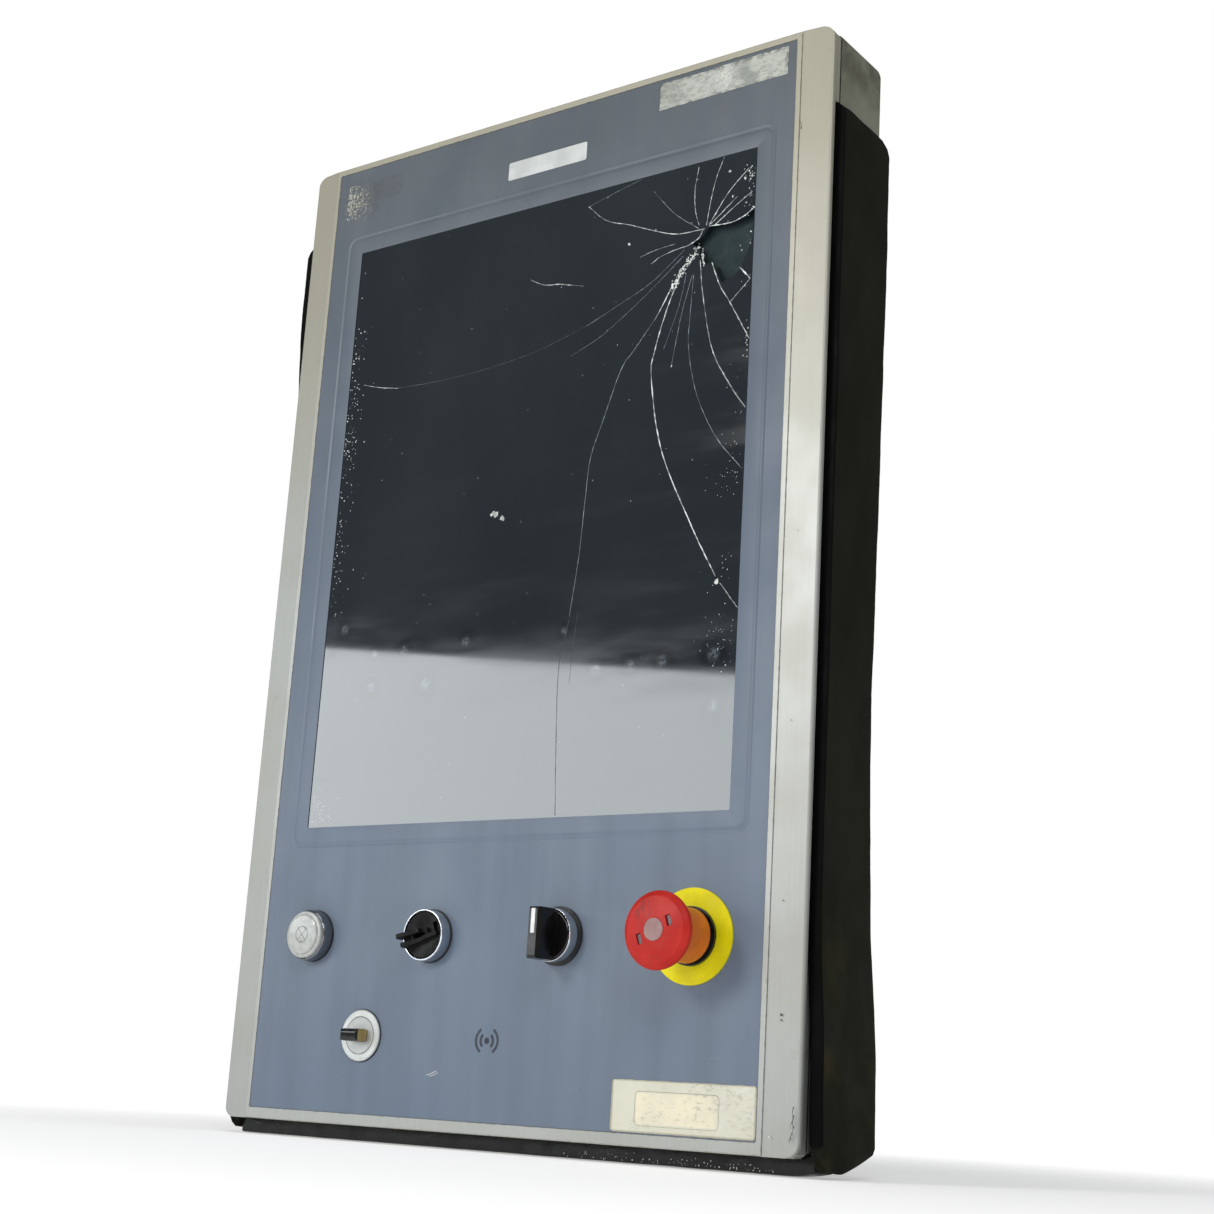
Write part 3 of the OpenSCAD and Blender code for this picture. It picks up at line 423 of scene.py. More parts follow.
def clear_plastic(name, tint, rough, weight):
    """Clear moulded plastic, slightly hazed and scratched."""
    k = Look(name, tint, rough, ior=1.49, transmission_weight=weight)
    base = k.mix(k.patches(0.4, 0.7, 250, 4), tint, shade(tint, 0.82))
    k.bump(k.noise(500, 4), 0.00004, 0.6)
    return k.done(base, k.step(k.noise(700, 4), 0.35, 0.7, rough * 0.7, rough * 1.6))


def fracture(name, colour, rough, glow):
    """Broken glass edges: bright, grainy and uneven along their length."""
    k = Look(name, colour, rough, specular_ior_level=0.8)
    base = k.mix(k.patches(0.38, 0.62, 260, 4), shade(colour, glow), colour)
    k.bump(k.noise(3000, 3), 0.0001, 0.8)
    return k.done(base, k.step(k.noise(500), 0.3, 0.7, rough * 0.6, min(1, rough * 1.5)))


FRAME_TOP_SHADED, FRAME_LOW = (0.36, 0.345, 0.275), (0.42, 0.435, 0.42)
LOOKS = {
    "painted_frame": anodised("aged_frame", FRAME_TOP_SHADED, FRAME_LOW),
    "painted_housing": dirty_shaded_housing_paint(),
    "front_film": film_print(),
    "screen_glass": glass_look(),
    "screen_cell": plastic("display_polariser", (0.022, 0.035, 0.038), 0.75, 0.0, soft=0.0002, grain=0.0,
                           specular_ior_level=0.2),
    "bare_metal": metal("drawn_aluminium", (0.52, 0.51, 0.44), 0.42, (1, 1, 0.05), metallic=0.6),
    "display_tray": metal("galvanised_tray", (0.5, 0.52, 0.53), 0.42),
    "steel": metal("zinc_steel", (0.45, 0.45, 0.44), 0.35),
    "chrome": metal("satin_chrome", (0.62, 0.64, 0.68), 0.2, dirt=0.3),
    "board_green": board(),
    "brass": metal("worn_brass", (0.56, 0.44, 0.2), 0.32, dirt=0.4),
    "seal_rubber": rubber("seal_rubber", (0.012, 0.012, 0.013), 0.55),
    "pad_rubber": foam_rubber(),
    "black_plastic": plastic("black_plastic", (0.012, 0.012, 0.013), 0.3, 0.15, (0.06, 0.06, 0.058)),
    "grey_plastic": plastic("grey_plastic", (0.3, 0.3, 0.29), 0.45),
    "white_plastic": plastic("white_plastic", (0.78, 0.78, 0.76), 0.4, 0.15),
    "clear_lens": clear_plastic("clear_lens", (0.7, 0.72, 0.69), 0.14, 0.35),
    "green_plastic": plastic("green_plastic", (0.04, 0.2, 0.07), 0.45),
    "red_plastic": plastic("red_plastic", (0.5, 0.04, 0.03), 0.45),
    # Painted light: the e-stop neck's orange is its look in shade under the red cap, with the cap's red bounce light in
    # it
    "orange_plastic": plastic("orange_plastic", (0.68, 0.15, 0.022), 0.42, 0.25, (0.3, 0.06, 0.02)),
    "yellow_plastic": plastic("yellow_disc", (0.8, 0.72, 0.004), 0.5, 0.1, (0.5, 0.45, 0.02), specular_ior_level=0.2),
    "dark_red_window": plastic("dark_red_window", (0.06, 0.004, 0.008), 0.12, 0.35, (0.5, 0.42, 0.42)),
    "foil_label": foil(),
    "paper_label": paper(),
}
NODE_LOOKS = {
    "estop_mushroom": red_cap(),
    "selector_right_knob": plastic("gloss_black", (0.004, 0.004, 0.0045), 0.2, 0.12, (0.03, 0.03, 0.03)),
    "selector_left_rotor": plastic("matt_black", (0.005, 0.005, 0.005), 0.6, 0.3, (0.016, 0.016, 0.015),
                                   specular_ior_level=0.25),
    "button_bezel": metal("dark_chrome", (0.3, 0.31, 0.34), 0.22, dirt=0.4),
    "key_head": plastic("key_plastic", (0.006, 0.006, 0.006), 0.12, 0.1, (0.03, 0.03, 0.03)),
    "lock_body": metal("satin_silver", (0.62, 0.64, 0.63), 0.38, dirt=0.12, metallic=0.5),
    "lock_plug": metal("satin_silver_plug", (0.5, 0.52, 0.51), 0.4, dirt=0.2, metallic=0.5),
    "estop_window": plastic("worn_window", (0.3, 0.16, 0.15), 0.35, 0.6, (0.45, 0.38, 0.36)),
}
for part in frame["record"]["subparts"]:
    node = frame["nodes"][part["node"]]
    node.data.materials.clear()
    node.data.materials.append(NODE_LOOKS.get(part["node"], LOOKS[part["material_slot"]]))

# ---------------------------------------------------------------- mesh helpers


def linked(name, data):
    """A new object in the scene."""
    obj = bpy.data.objects.new(name, data)
    bpy.context.scene.collection.objects.link(obj)
    return obj


def piece(name, verts, faces, look=None, body="panel", slot=None, smooth=False, stands_for=()):
    """A new mesh piece that rides on a body, with a look of its own or that of its slot in the record."""
    mesh = bpy.data.meshes.new(name)
    mesh.from_pydata([tuple(v) for v in verts], [], faces)
    mesh.validate()
    mesh.materials.append(look or LOOKS[slot])
    if smooth:
        mesh.shade_smooth()
    obj = linked(name, mesh)
    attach(obj, body)
    if stands_for:
        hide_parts(*stands_for)
    return obj


def rounded(cx, cz, w, h, r, steps=6):
    """Corner-rounded rectangle, counter-clockwise as seen from the front."""
    out = []
    for sx, sz, start in ((1, 1, 0), (-1, 1, 90), (-1, -1, 180), (1, -1, 270)):
        for i in range(steps + 1):
            a = math.radians(start + 90 * i / steps)
            out.append((cx + sx * (w / 2 - r) + r * math.cos(a), cz + sz * (h / 2 - r) + r * math.sin(a)))
    return out


def circle(cx, cz, r, steps=48):
    angles = [math.tau * i / steps for i in range(steps)]
    return [(cx + r * math.cos(a), cz + r * math.sin(a)) for a in angles]


def inside(point, loop):
    x, z = point
    hit = False
    for (x0, z0), (x1, z1) in zip(loop, loop[1:] + loop[:1]):
        if (z0 > z) != (z1 > z) and x < (x1 - x0) * (z - z0) / (z1 - z0) + x0:
            hit = not hit
    return hit


def flat_fill(outer, holes):
    """Triangles of a flat outline with holes."""
    loops = [outer, *holes]
    points, edges = [], []
    for loop in loops:
        start = len(points)
        points += [Vector(p) for p in loop]
        edges += [(start + i, start + (i + 1) % len(loop)) for i in range(len(loop))]
    verts, _, faces, *_ = geometry.delaunay_2d_cdt(points, edges, [], 0, 1e-4)
    kept = []
    for f in faces:
        c = sum((verts[i] for i in f), Vector((0, 0))) / len(f)
        if inside(c, outer) and not any(inside(c, h) for h in holes):
            kept.append(list(f))
    return [(v.x, v.y) for v in verts], kept


def band(a, b, m):
    """Quads between two rings of m vertices, which start at a and at b."""
    return [[a + i, a + (i + 1) % m, b + (i + 1) % m, b + i] for i in range(m)]


def plate(outer, holes, front, back):
    """A flat plate between two heights out of the film's face."""
    flat, faces = flat_fill(outer, holes)
    n = len(flat)
    verts = [place(x, z, front) for x, z in flat] + [place(x, z, back) for x, z in flat]
    out = list(faces) + [[i + n for i in reversed(f)] for f in faces]
    for loop in (outer, *holes):
        start = len(verts)
        verts += [place(x, z, front) for x, z in loop] + [place(x, z, back) for x, z in loop]
        m = len(loop)
        out += band(start, start + m, m)
    return verts, out


def spline(points, per=8):
    """Catmull-Rom curve through given points."""
    p = [Vector(q) for q in points]
    p = [2 * p[0] - p[1], *p, 2 * p[-1] - p[-2]]
    out = []
    for a, b, c, d in zip(p, p[1:], p[2:], p[3:]):
        for i in range(per):
            t = i / per
            square, cube = 2 * a - 5 * b + 4 * c - d, 3 * b - a - 3 * c + d
            out.append(0.5 * ((2 * b) + (c - a) * t + square * t * t + cube * t ** 3))
    return out + [p[-2]]


def ridge(verts, faces, path, width, base, height, rng, jitter=0.0):
    """A thin raised line of uneven width along a path on the panel."""
    path = [Vector(p) for p in path]
    start, n = len(verts), len(path)
    for i, p in enumerate(path):
        along = path[min(i + 1, n - 1)] - path[max(i - 1, 0)]
        side = Vector((-along.y, along.x)).normalized()
        w = width(i / (n - 1)) * rng.uniform(0.45, 1.15)
        p = p + side * rng.uniform(-jitter, jitter)
        for s, h in ((-0.5, 0), (0, 1), (0.5, 0)):
            q = p + side * s * w
            verts.append(place(q.x, q.y, base + h * height))
    for i in range(n - 1):
        a = start + 3 * i
        faces += [[a, a + 1, a + 4, a + 3], [a + 1, a + 2, a + 5, a + 4]]


def crumb(verts, faces, x, z, out, size, rng):
    """A small irregular flake that lies on the panel."""
    start = len(verts)
    count = rng.randint(4, 6)
    turn = rng.uniform(0, math.tau)
    for i in range(count):
        a = turn + math.tau * i / count
        r = size * rng.uniform(0.5, 1.0)
        verts.append(place(x + r * math.cos(a) * rng.uniform(0.6, 1.3), z + r * math.sin(a), out))
    x, z = x + rng.uniform(-0.2, 0.2) * size, z + rng.uniform(-0.2, 0.2) * size
    verts.append(place(x, z, out + size * rng.uniform(0.25, 0.6)))
    faces += [[start + i, start + (i + 1) % count, start + count] for i in range(count)]


def scatter(verts, faces, rng, count, spot, low, high):
    """Flakes of size low to high on the glass, each where spot puts it."""
    for _ in range(count):
        x, z = spot()
        crumb(verts, faces, x, z, GLASS_OUT, rng.uniform(low, high), rng)


# ---------------------------------------------------------------- front film

ROW_Z = 100.0
BUTTON_X, SELECTOR_LEFT_X, SELECTOR_RIGHT_X, ESTOP_X = -134.8, -43.8, 46.5, 132.3
LOCK_X, LOCK_Z = -90.6, 43.5
HOLE_R = 11.25
FILM_THICK = 0.45
# Outer edge of the embossing, out from the window, and its corner radius
EMBOSS_OUT, EMBOSS_R = 14.0, 9.0
HOLES = ((BUTTON_X, ROW_Z), (SELECTOR_LEFT_X, ROW_Z), (SELECTOR_RIGHT_X, ROW_Z), (ESTOP_X, ROW_Z), (LOCK_X, LOCK_Z))


def build_film():
    """The film with its embossed double line round the window, as rings that follow the window's outline."""
    # Distance out from the window's edge, corner radius and height of each ring of the embossing
    rings = [(0.0, 0.4, -0.3), (0.05, 0.5, -0.06), (0.3, 0.7, 0.0), (8.2, 4.5, 0.0)]
    for i in range(13):
        t = i / 12
        dip, lip = 0.3 * math.sin(math.pi * t) ** 2, 0.16 * math.sin(2 * math.pi * t) ** 2 * (t > 0.5)
        rings.append((8.6 + 4.8 * t, 4.6 + 4.0 * t, lip - dip))
    rings.append((EMBOSS_OUT, EMBOSS_R, 0.0))
    verts, faces = [], []
    steps = 8
    for margin, r, height in rings:
        verts += [place(x, z, height) for x, z in
                  rounded(WINDOW_X, WINDOW_Z, WINDOW_W + 2 * margin, WINDOW_H + 2 * margin, r, steps)]
    m = 4 * (steps + 1)
    for k in range(len(rings) - 1):
        faces += band(k * m, (k + 1) * m, m)
    last = rounded(WINDOW_X, WINDOW_Z, WINDOW_W + 2 * EMBOSS_OUT, WINDOW_H + 2 * EMBOSS_OUT, EMBOSS_R, steps)
    outer = rounded(0, FILM_H / 2, FILM_W - 0.1, FILM_H - 0.1, 1.0, 3)
    holes = [circle(x, z, HOLE_R) for x, z in HOLES]
    flat, tris = flat_fill(outer, [last, *holes])
    start = len(verts)
    verts += [place(x, z, 0) for x, z in flat]
    faces += [[start + i for i in f] for f in tris]
    for loop in (outer, *holes):
        start, n = len(verts), len(loop)
        verts += [place(x, z, 0) for x, z in loop] + [place(x, z, -FILM_THICK) for x, z in loop]
        faces += band(start, start + n, n)
    film = piece("printed_film", verts, faces, slot="front_film", stands_for=("front_film",))
    film.data.shade_smooth()
    film.data.set_sharp_from_angle(angle=math.radians(35))


build_film()

# Printed marks on the film: a plain blank name bar and the card reader's wave symbol
PRINT_OUT = 0.03


def build_prints():
    bar = rounded(0, 570, 60, 12, 1.2, 5)
    v, f = plate(bar, [], PRINT_OUT, 0.0)
    white = plastic("print_white", (0.5, 0.52, 0.51), 0.45, 0.3, (0.3, 0.33, 0.36))
    piece("name_bar", v, f, white, slot="white_plastic")
    verts, faces = [], []
    cx, cz, squash = 1.6, 43.4, 0.95
    dot = circle(cx, cz, 1.75, 20)
    v, f = plate(dot, [], PRINT_OUT, 0.0)
    verts += v
    faces += f
    for r, half, w in ((4.3, 50, 0.85), (7.6, 56, 0.8)):
        for turn in (0, 180):
            arc = [math.radians(turn - half + 2 * half * i / 12) for i in range(13)]
            loop = [(cx + (r + w) * math.cos(a), cz + squash * (r + w) * math.sin(a)) for a in arc]
            loop += [(cx + (r - w) * math.cos(a), cz + squash * (r - w) * math.sin(a)) for a in reversed(arc)]
            v, f = plate(loop, [], PRINT_OUT, 0.0)
            start = len(verts)
            verts += v
            faces += [[start + i for i in q] for q in f]
    piece("reader_symbol", verts, faces, plastic("print_dark", (0.02, 0.025, 0.042), 0.5, 0.1, (0.05, 0.06, 0.08)),
          slot="front_film")


build_prints()

# ---------------------------------------------------------------- touch glass with its cracks

SHARD_HOLE = [(121, 500), (135, 499), (145, 501), (150.6, 505), (150.8, 488), (148, 480), (144, 471), (139, 466),
              (131, 463.5), (124, 477), (117, 477), (115, 488), (110, 491), (117, 495)]
# Cracks as points on the panel, with the width at the start and end in millimetres
BRIGHT = [
    ([(112, 539), (110, 525), (111, 512), (114, 502)], 0.35, 0.5),
    ([(129, 541), (124, 528), (121, 514), (119, 501)], 0.35, 0.55),
    ([(146, 530), (133, 518), (121, 501)], 0.4, 0.6),
    ([(139, 514), (122, 501)], 0.25, 0.6),
    ([(149, 515), (137, 508), (125, 500)], 0.25, 0.5),
    ([(121, 500), (135, 499), (144, 501), (151, 505)], 0.6, 0.75),
    ([(34, 532), (48, 520), (66, 513), (82, 506), (99, 500), (118, 499)], 0.35, 0.55),
    ([(117, 499), (114, 494), (107, 491)], 0.7, 0.8),
    ([(107, 491), (97, 490), (88, 488), (82, 485)], 0.5, 0.25),
    ([(98, 494), (84, 493), (74, 491)], 0.2, 0.3),
    ([(114, 500), (97, 513), (81, 531)], 0.35, 0.15),
    ([(98, 469), (92, 458), (87, 450)], 0.9, 0.5),
    ([(103, 474), (95, 455), (88, 431), (86.5, 414), (96, 370), (118, 324), (136, 292)], 0.75, 0.7),
    ([(139, 288), (151, 273)], 0.45, 0.35),
    ([(124, 477), (130, 462), (138, 449), (151, 426)], 0.6, 0.55),
    ([(116, 480), (119, 458), (127, 424), (141, 399), (150.5, 386)], 0.5, 0.55),
    ([(143, 470), (150, 462)], 0.9, 0.9),
    ([(150, 462), (137, 450)], 0.3, 0.5),
    ([(-7, 493.5), (4, 488), (16, 486)], 0.3, 0.75),
    ([(16, 486), (34, 481)], 0.6, 0.15),
    ([(-137, 448), (-123, 444), (-108, 441)], 0.3, 0.5),
]
FINE = [
    ([(34, 532), (54, 537), (72, 541)], 0.25, 0.15),
    ([(105, 489), (84, 474), (66, 466), (38, 455)], 0.35, 0.25),
    ([(104, 485), (90, 474), (75, 463), (50, 447), (28, 438)], 0.3, 0.15),
    ([(87, 450), (73, 433), (65, 423), (54, 393), (47, 372), (45, 347), (43, 313), (39, 279)], 0.45, 0.35),
    ([(107, 474), (103, 455), (94, 430)], 0.35, 0.2),
    ([(111, 472), (105, 449), (100, 420)], 0.4, 0.3),
    ([(112, 472), (111, 448), (111, 428), (118, 399), (132, 372), (150, 351)], 0.3, 0.4),
]
DARK = [
    ([(38, 455), (19, 450), (-3, 445), (-40, 441), (-74, 440), (-108, 441)], 0.25, 0.5),
    ([(39, 277), (34, 250), (35, 215), (38, 166)], 0.5, 0.5),
    ([(45, 281), (43, 262), (42, 240)], 0.4, 0.2),
]


def cracks(name, lines, look, seed, height, jitter):
    rng = random.Random(seed)
    verts, faces = [], []
    for points, w0, w1 in lines:
        path = spline(points, 14)
        ridge(verts, faces, path, lambda t: w0 + (w1 - w0) * t, GLASS_OUT + 0.01, height, rng, jitter)
    piece(name, verts, faces, look, slot="screen_glass")


def build_glass():
    margin = 8.0
    outer = rounded(WINDOW_X, WINDOW_Z, WINDOW_W + 2 * margin, WINDOW_H + 2 * margin, 2.0, 4)
    verts, faces = plate(outer, [SHARD_HOLE], GLASS_OUT, GLASS_OUT - GLASS_THICK)
    piece("cracked_touch_glass", verts, faces, slot="screen_glass", stands_for=("touch_glass",))
    bright = fracture("fracture_bright", (0.85, 0.9, 0.88), 0.35, 0.3)
    cracks("cracks_bright", BRIGHT, bright, 11, 0.22, 0.08)
    cracks("cracks_fine", FINE, fracture("fracture_fine", (0.3, 0.36, 0.4), 0.4, 0.4), 12, 0.12, 0.08)
    cracks("cracks_dark", DARK, fracture("fracture_dark", (0.02, 0.03, 0.04), 0.5, 0.6), 13, 0.06, 0.05)
    # Crushed glass below the point of impact, chips along the right edge and flakes on the screen
    rng = random.Random(21)
    verts, faces = [], []
    for _ in range(150):
        t = rng.random() ** 0.8
        x = 115 - 18 * t + rng.gauss(0, 1.4 * (1 - 0.5 * t))
        z = 489 - 22 * t + rng.gauss(0, 1.6)
        crumb(verts, faces, x, z, GLASS_OUT, rng.uniform(0.25, 0.95), rng)
    for _ in range(26):
        t = rng.random()
        crumb(verts, faces, 116 + 1.5 * rng.random() + 2 * t, 487 - 12 * t, GLASS_OUT, rng.uniform(0.3, 0.8), rng)
    chips = (528, 522, 515, 508, 488, 462, 432, 424)

    def chip():
        return 150.2 - abs(rng.gauss(0, 3.2)), rng.choice(chips) + rng.gauss(0, 4)

    scatter(verts, faces, rng, 60, chip, 0.2, 0.9)
    for x, z, size in ((65, 501, 1.3), (-22, 346, 3.4), (-15, 344, 2.2), (137, 289, 2.0), (133, 531, 1.2),
                       (144, 524, 1.3), (100, 419, 0.7), (84, 506, 0.8), (136, 515, 0.7)):
        for _ in range(4):
            crumb(verts, faces, x + rng.gauss(0, size * 0.4), z + rng.gauss(0, size * 0.3), GLASS_OUT,
                  size * rng.uniform(0.5, 0.9), rng)
    piece("glass_crumbs", verts, faces, fracture("crumb_glass", (0.72, 0.75, 0.72), 0.4, 0.55), slot="screen_glass")
    # Fine dust along the left edge, over the whole screen, along the right edge and in the lower left corner
    rng = random.Random(22)
    verts, faces = [], []
    left, right = (470, 452, 430, 405, 385, 345, 320), (395, 365, 345, 300, 262, 250)
    for count, spot, low, high in (
        (180, lambda: (-149 + abs(rng.gauss(0, 5.5)), rng.choice(left) + rng.gauss(0, 14)), 0.15, 0.6),
        (90, lambda: (rng.uniform(-146, 149), rng.uniform(170, 538)), 0.12, 0.38),
        (110, lambda: (149 - abs(rng.gauss(0, 10)), rng.choice(right) + rng.gauss(0, 7)), 0.12, 0.4),
        (70, lambda: (-147 + abs(rng.gauss(0, 9)), 168 + abs(rng.gauss(0, 9))), 0.15, 0.5),
    ):
        scatter(verts, faces, rng, count, spot, low, high)
    piece("screen_dust", verts, faces, plastic("dust", (0.85, 0.87, 0.85), 0.8, 0.1), slot="screen_glass")


build_glass()

# ---------------------------------------------------------------- labels, residue and scratches


def worn_label(name, outer, thick, slot, node, seed):
    """A thin label with slightly uneven edges."""
    rng = random.Random(seed)
    loop = []
    for (x0, z0), (x1, z1) in zip(outer, outer[1:] + outer[:1]):
        n = max(1, int(math.hypot(x1 - x0, z1 - z0) / 2.0))
        for i in range(n):
            t = i / n
            loop.append((x0 + (x1 - x0) * t + rng.uniform(-0.12, 0.12), z0 + (z1 - z0) * t + rng.uniform(-0.12, 0.12)))
    v, f = plate(loop, [], thick, 0.0)
    piece(name, v, f, slot=slot, stands_for=(node,))


def build_labels():
    top = [(82.2, 582.2), (169.5, 582.2), (169.8, 599.8), (121, 599.8), (118, 599.2), (84, 599.6), (82.2, 597)]
    worn_label("foil_label_sheet", top, 0.15, "foil_label", "top_label", 31)
    low = rounded(130.9, 13.7, 87.6, 26.2, 2.2, 5)
    worn_label("paper_label_sheet", low, 0.2, "paper_label", "bottom_label", 32)
    # Outline of the label's inner field, pressed in as a fine brown line
    rng = random.Random(33)
    verts, faces = [], []
    field = rounded(127.5, 12.7, 51, 17.2, 2.6, 5)
    ridge(verts, faces, field + field[:1], lambda t: 0.3, 0.2, 0.03, rng, 0.03)
    piece("label_field_line", verts, faces, plastic("label_line", (0.27, 0.2, 0.12), 0.6, 0.3), slot="paper_label")
    # Crumbly cream adhesive at the left of the removed sticker
    verts, faces = [], []
    for _ in range(240):
        x = -166.5 + abs(rng.gauss(0, 7.0))
        z = min(max(rng.gauss(580, 5.5), 568), 592)
        crumb(verts, faces, x, z, 0.0, rng.uniform(0.25, 0.8), rng)
    glue = plastic("old_adhesive", (0.42, 0.42, 0.36), 0.7, 0.6, (0.1, 0.1, 0.09))
    piece("sticker_residue", verts, faces, glue, slot="paper_label")


build_labels()


def speck(verts, faces, at, normal, size, rng):
    """A small flat flake at a point in space, lying on a face with the given normal."""
    start = len(verts)
    n = Vector(normal).normalized()
    u = n.orthogonal().normalized()
    v = n.cross(u)
    turn = rng.uniform(0, math.tau)
    for i in range(5):
        a = turn + math.tau * i / 5
        r = size * rng.uniform(0.5, 1.0) * MM
        verts.append(at + u * r * math.cos(a) + v * r * math.sin(a) + n * 0.03 * MM)
    faces.append([start + i for i in range(5)])


# Height of a scratch's raised line, in millimetres
LINE = 0.02


def build_marks():
    """Scratches, dents and chips on the film and on the right side profile."""
    rng = random.Random(51)
    out = (FILM_LO.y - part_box("side_profile_right")[0].y) / MM + LINE
    dark, pale = ([], []), ([], [])
    # A hooked scratch near the top of the profile and a few upright nicks near its foot
    ridge(*dark, [(175.3, 550.7), (178.8, 550.2), (179.3, 548), (179.4, 545.4)], lambda t: 0.5, out, LINE, rng)
    for x, z, length in ((195.6, 18, 5), (195.9, 14, 6), (194.9, 11, 4), (196.1, 9, 5), (195.2, 6, 4), (194.4, 3.5, 3)):
        ridge(*dark, [(x, z), (x - 0.7, z - length / 2), (x - 0.4, z - length)],
              lambda t: 0.5 - 0.3 * t, out, LINE, rng)
    for x, z, size in ((186.8, 61.7, 0.8), (186.9, 59.2, 0.6), (185.5, 118, 0.5), (186.4, 210, 0.5)):
        crumb(*dark, x, z, out, size, rng)
    for x, z, size in ((182.4, 3.1, 0.9), (183.2, 2.4, 0.6), (186, 312, 0.5)):
        crumb(*pale, x, z, out, size, rng)
    for dx, dz in ((0, 0), (1.4, 0.5), (2.6, -0.4)):
        ridge(*pale, [(-40 + dx, 23.4 + dz), (-37 + dx, 24.2 + dz), (-34 + dx, 25.6 + dz)],
              lambda t: 0.3, LINE, LINE, rng)
    piece("profile_nicks", *dark, plastic("nick_dark", (0.02, 0.02, 0.018), 0.6, 0.1), slot="painted_frame")
    piece("pale_scratches", *pale, plastic("scratch_pale", (0.7, 0.71, 0.68), 0.6, 0.1), slot="painted_frame")
    # White grit stuck in the lower front edge of the bottom pad
    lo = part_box("bottom_pad")[0]
    verts, faces = [], []
    for _ in range(90):
        x = rng.choice((60, 84, 100, 122, 138, 150, 168)) + rng.gauss(0, 7)
        z = lo.z + (1.2 + abs(rng.gauss(0, 1.6))) * MM
        speck(verts, faces, Vector((x * MM, lo.y, z)), (0, -1, 0.1), rng.uniform(0.15, 0.6), rng)
    piece("pad_grit", verts, faces, plastic("grit", (0.6, 0.62, 0.6), 0.5, 0.3), slot="pad_rubber")


build_marks()

# ---------------------------------------------------------------- rubber pads


def pad_section(width, thick, r, count):
    """Closed loop round a pad's cross-section: (across its thickness, along its width)."""
    loop = []
    for sx, sy, start in ((1, -1, 270), (1, 1, 0), (-1, 1, 90), (-1, -1, 180)):
        for i in range(4):
            a = math.radians(start + 30 * i)
            loop.append((sx * (thick / 2 - r) + r * math.cos(a), sy * (width / 2 - r) + r * math.sin(a)))
    out = []
    for a, b in zip(loop, loop[1:] + loop[:1]):
        n = count if math.dist(a, b) > 0.5 * width else 1
        out += [(a[0] + (b[0] - a[0]) * i / n, a[1] + (b[1] - a[1]) * i / n) for i in range(n)]
    return out


def table_at(table, x):
    for (x0, y0), (x1, y1) in zip(table, table[1:]):
        if x <= x1:
            t = (x - x0) / (x1 - x0)
            return y0 + (y1 - y0) * t * t * (3 - 2 * t)
    return table[-1][1]


# Outline of a side pad seen from the side, as (height, depth) and (depth, height) in film millimetres
PAD_REAR = [(-2, 63.2), (25, 63.2), (74, 62.7), (125, 60.2), (180, 57.6), (230, 55.8), (285, 57.6), (340, 58.6),
            (400, 60.2), (460, 61.3), (549, 61.3)]
PAD_FOOT = [(7.6, 0.2), (10, -5.2), (14, -12.3), (28, -13.1), (35, -11.7), (47, -8.3), (63.3, -2.9)]
PAD_HEAD = [(7.6, 556), (16, 557.2), (26, 557.4), (53, 556.9), (60, 553.9), (61.4, 549)]
PAD_FRONT = 7.65
PAD_LIFT = 7.0


def between(table, x):
    """Straight-line reading of a table of pairs."""
    x = max(table[0][0], min(table[-1][0], x))
    for (x0, y0), (x1, y1) in zip(table, table[1:]):
        if x <= x1:
            return y0 + (y1 - y0) * (x - x0) / (x1 - x0)
    return table[-1][1]


def side_pad(name, node, side, offsets, seed):
    """A sheet of cellular rubber glued to the housing's side, bent away from it at one end."""
    lo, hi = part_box(node)
    # Thickness, edge rounding and the housing's side, in millimetres
    thick, edge_r, inner = 7.9, 0.9, 195.25
    stations = 200
    low, high = PAD_FOOT[2][1], PAD_HEAD[1][1]
    verts, faces = [], []
    for k in range(stations + 1):
        t = k / stations
        flat_z = low + (high - low) * t
        width = between(PAD_REAR, flat_z) - PAD_FRONT
        shrink = 0.0
        for d in (flat_z - low, high - flat_z):
            if d < edge_r:
                shrink = edge_r - math.sqrt(max(0.0, edge_r ** 2 - (edge_r - d) ** 2))
        section = pad_section(width - 2 * shrink, thick - 2 * shrink, edge_r * 0.9, 16)
        for across, along in section:
            y = PAD_FRONT + width / 2 + along
            z = between(PAD_FOOT, y) * (1 - t) + between(PAD_HEAD, y) * t
            x = inner + thick / 2 + across + table_at(offsets, z)
            outer = max(0.0, across / (thick / 2))
            # The head's front corner rises towards the housing
            z += PAD_LIFT * (0.5 - across / thick) * t ** 8 * between([(14, 1), (25, 0)], y)
            p = Vector((x * 0.04, y * 0.06, z * 0.018 + seed))
            x -= outer ** 2 * (0.3 + 0.4 * noise.noise(p) + 0.2 * noise.noise(p * 3.1))
            ragged = 0.25 + 0.3 * noise.noise(Vector((0, seed, z * 0.06)))
            ragged += 0.2 * noise.noise(Vector((x * 0.4, seed, z * 0.3)))
            y += max(0.0, ragged) * (1 if along < 0 else -1)
            q = place(x * side, z, -y)
            q.x = max(lo.x, min(hi.x, q.x))
            q.y = max(lo.y, min(hi.y, q.y))
            q.z = max(lo.z, min(hi.z, q.z))
            verts.append(q)
    m = len(section)
    for k in range(stations):
        faces += band(k * m, (k + 1) * m, m)
    faces += [list(range(m)), [stations * m + i for i in reversed(range(m))]]
    if side < 0:
        faces = [list(reversed(f)) for f in faces]
    pad = piece(name, verts, faces, slot="pad_rubber", smooth=True, stands_for=(node,))
    pad.data.set_sharp_from_angle(angle=math.radians(50))


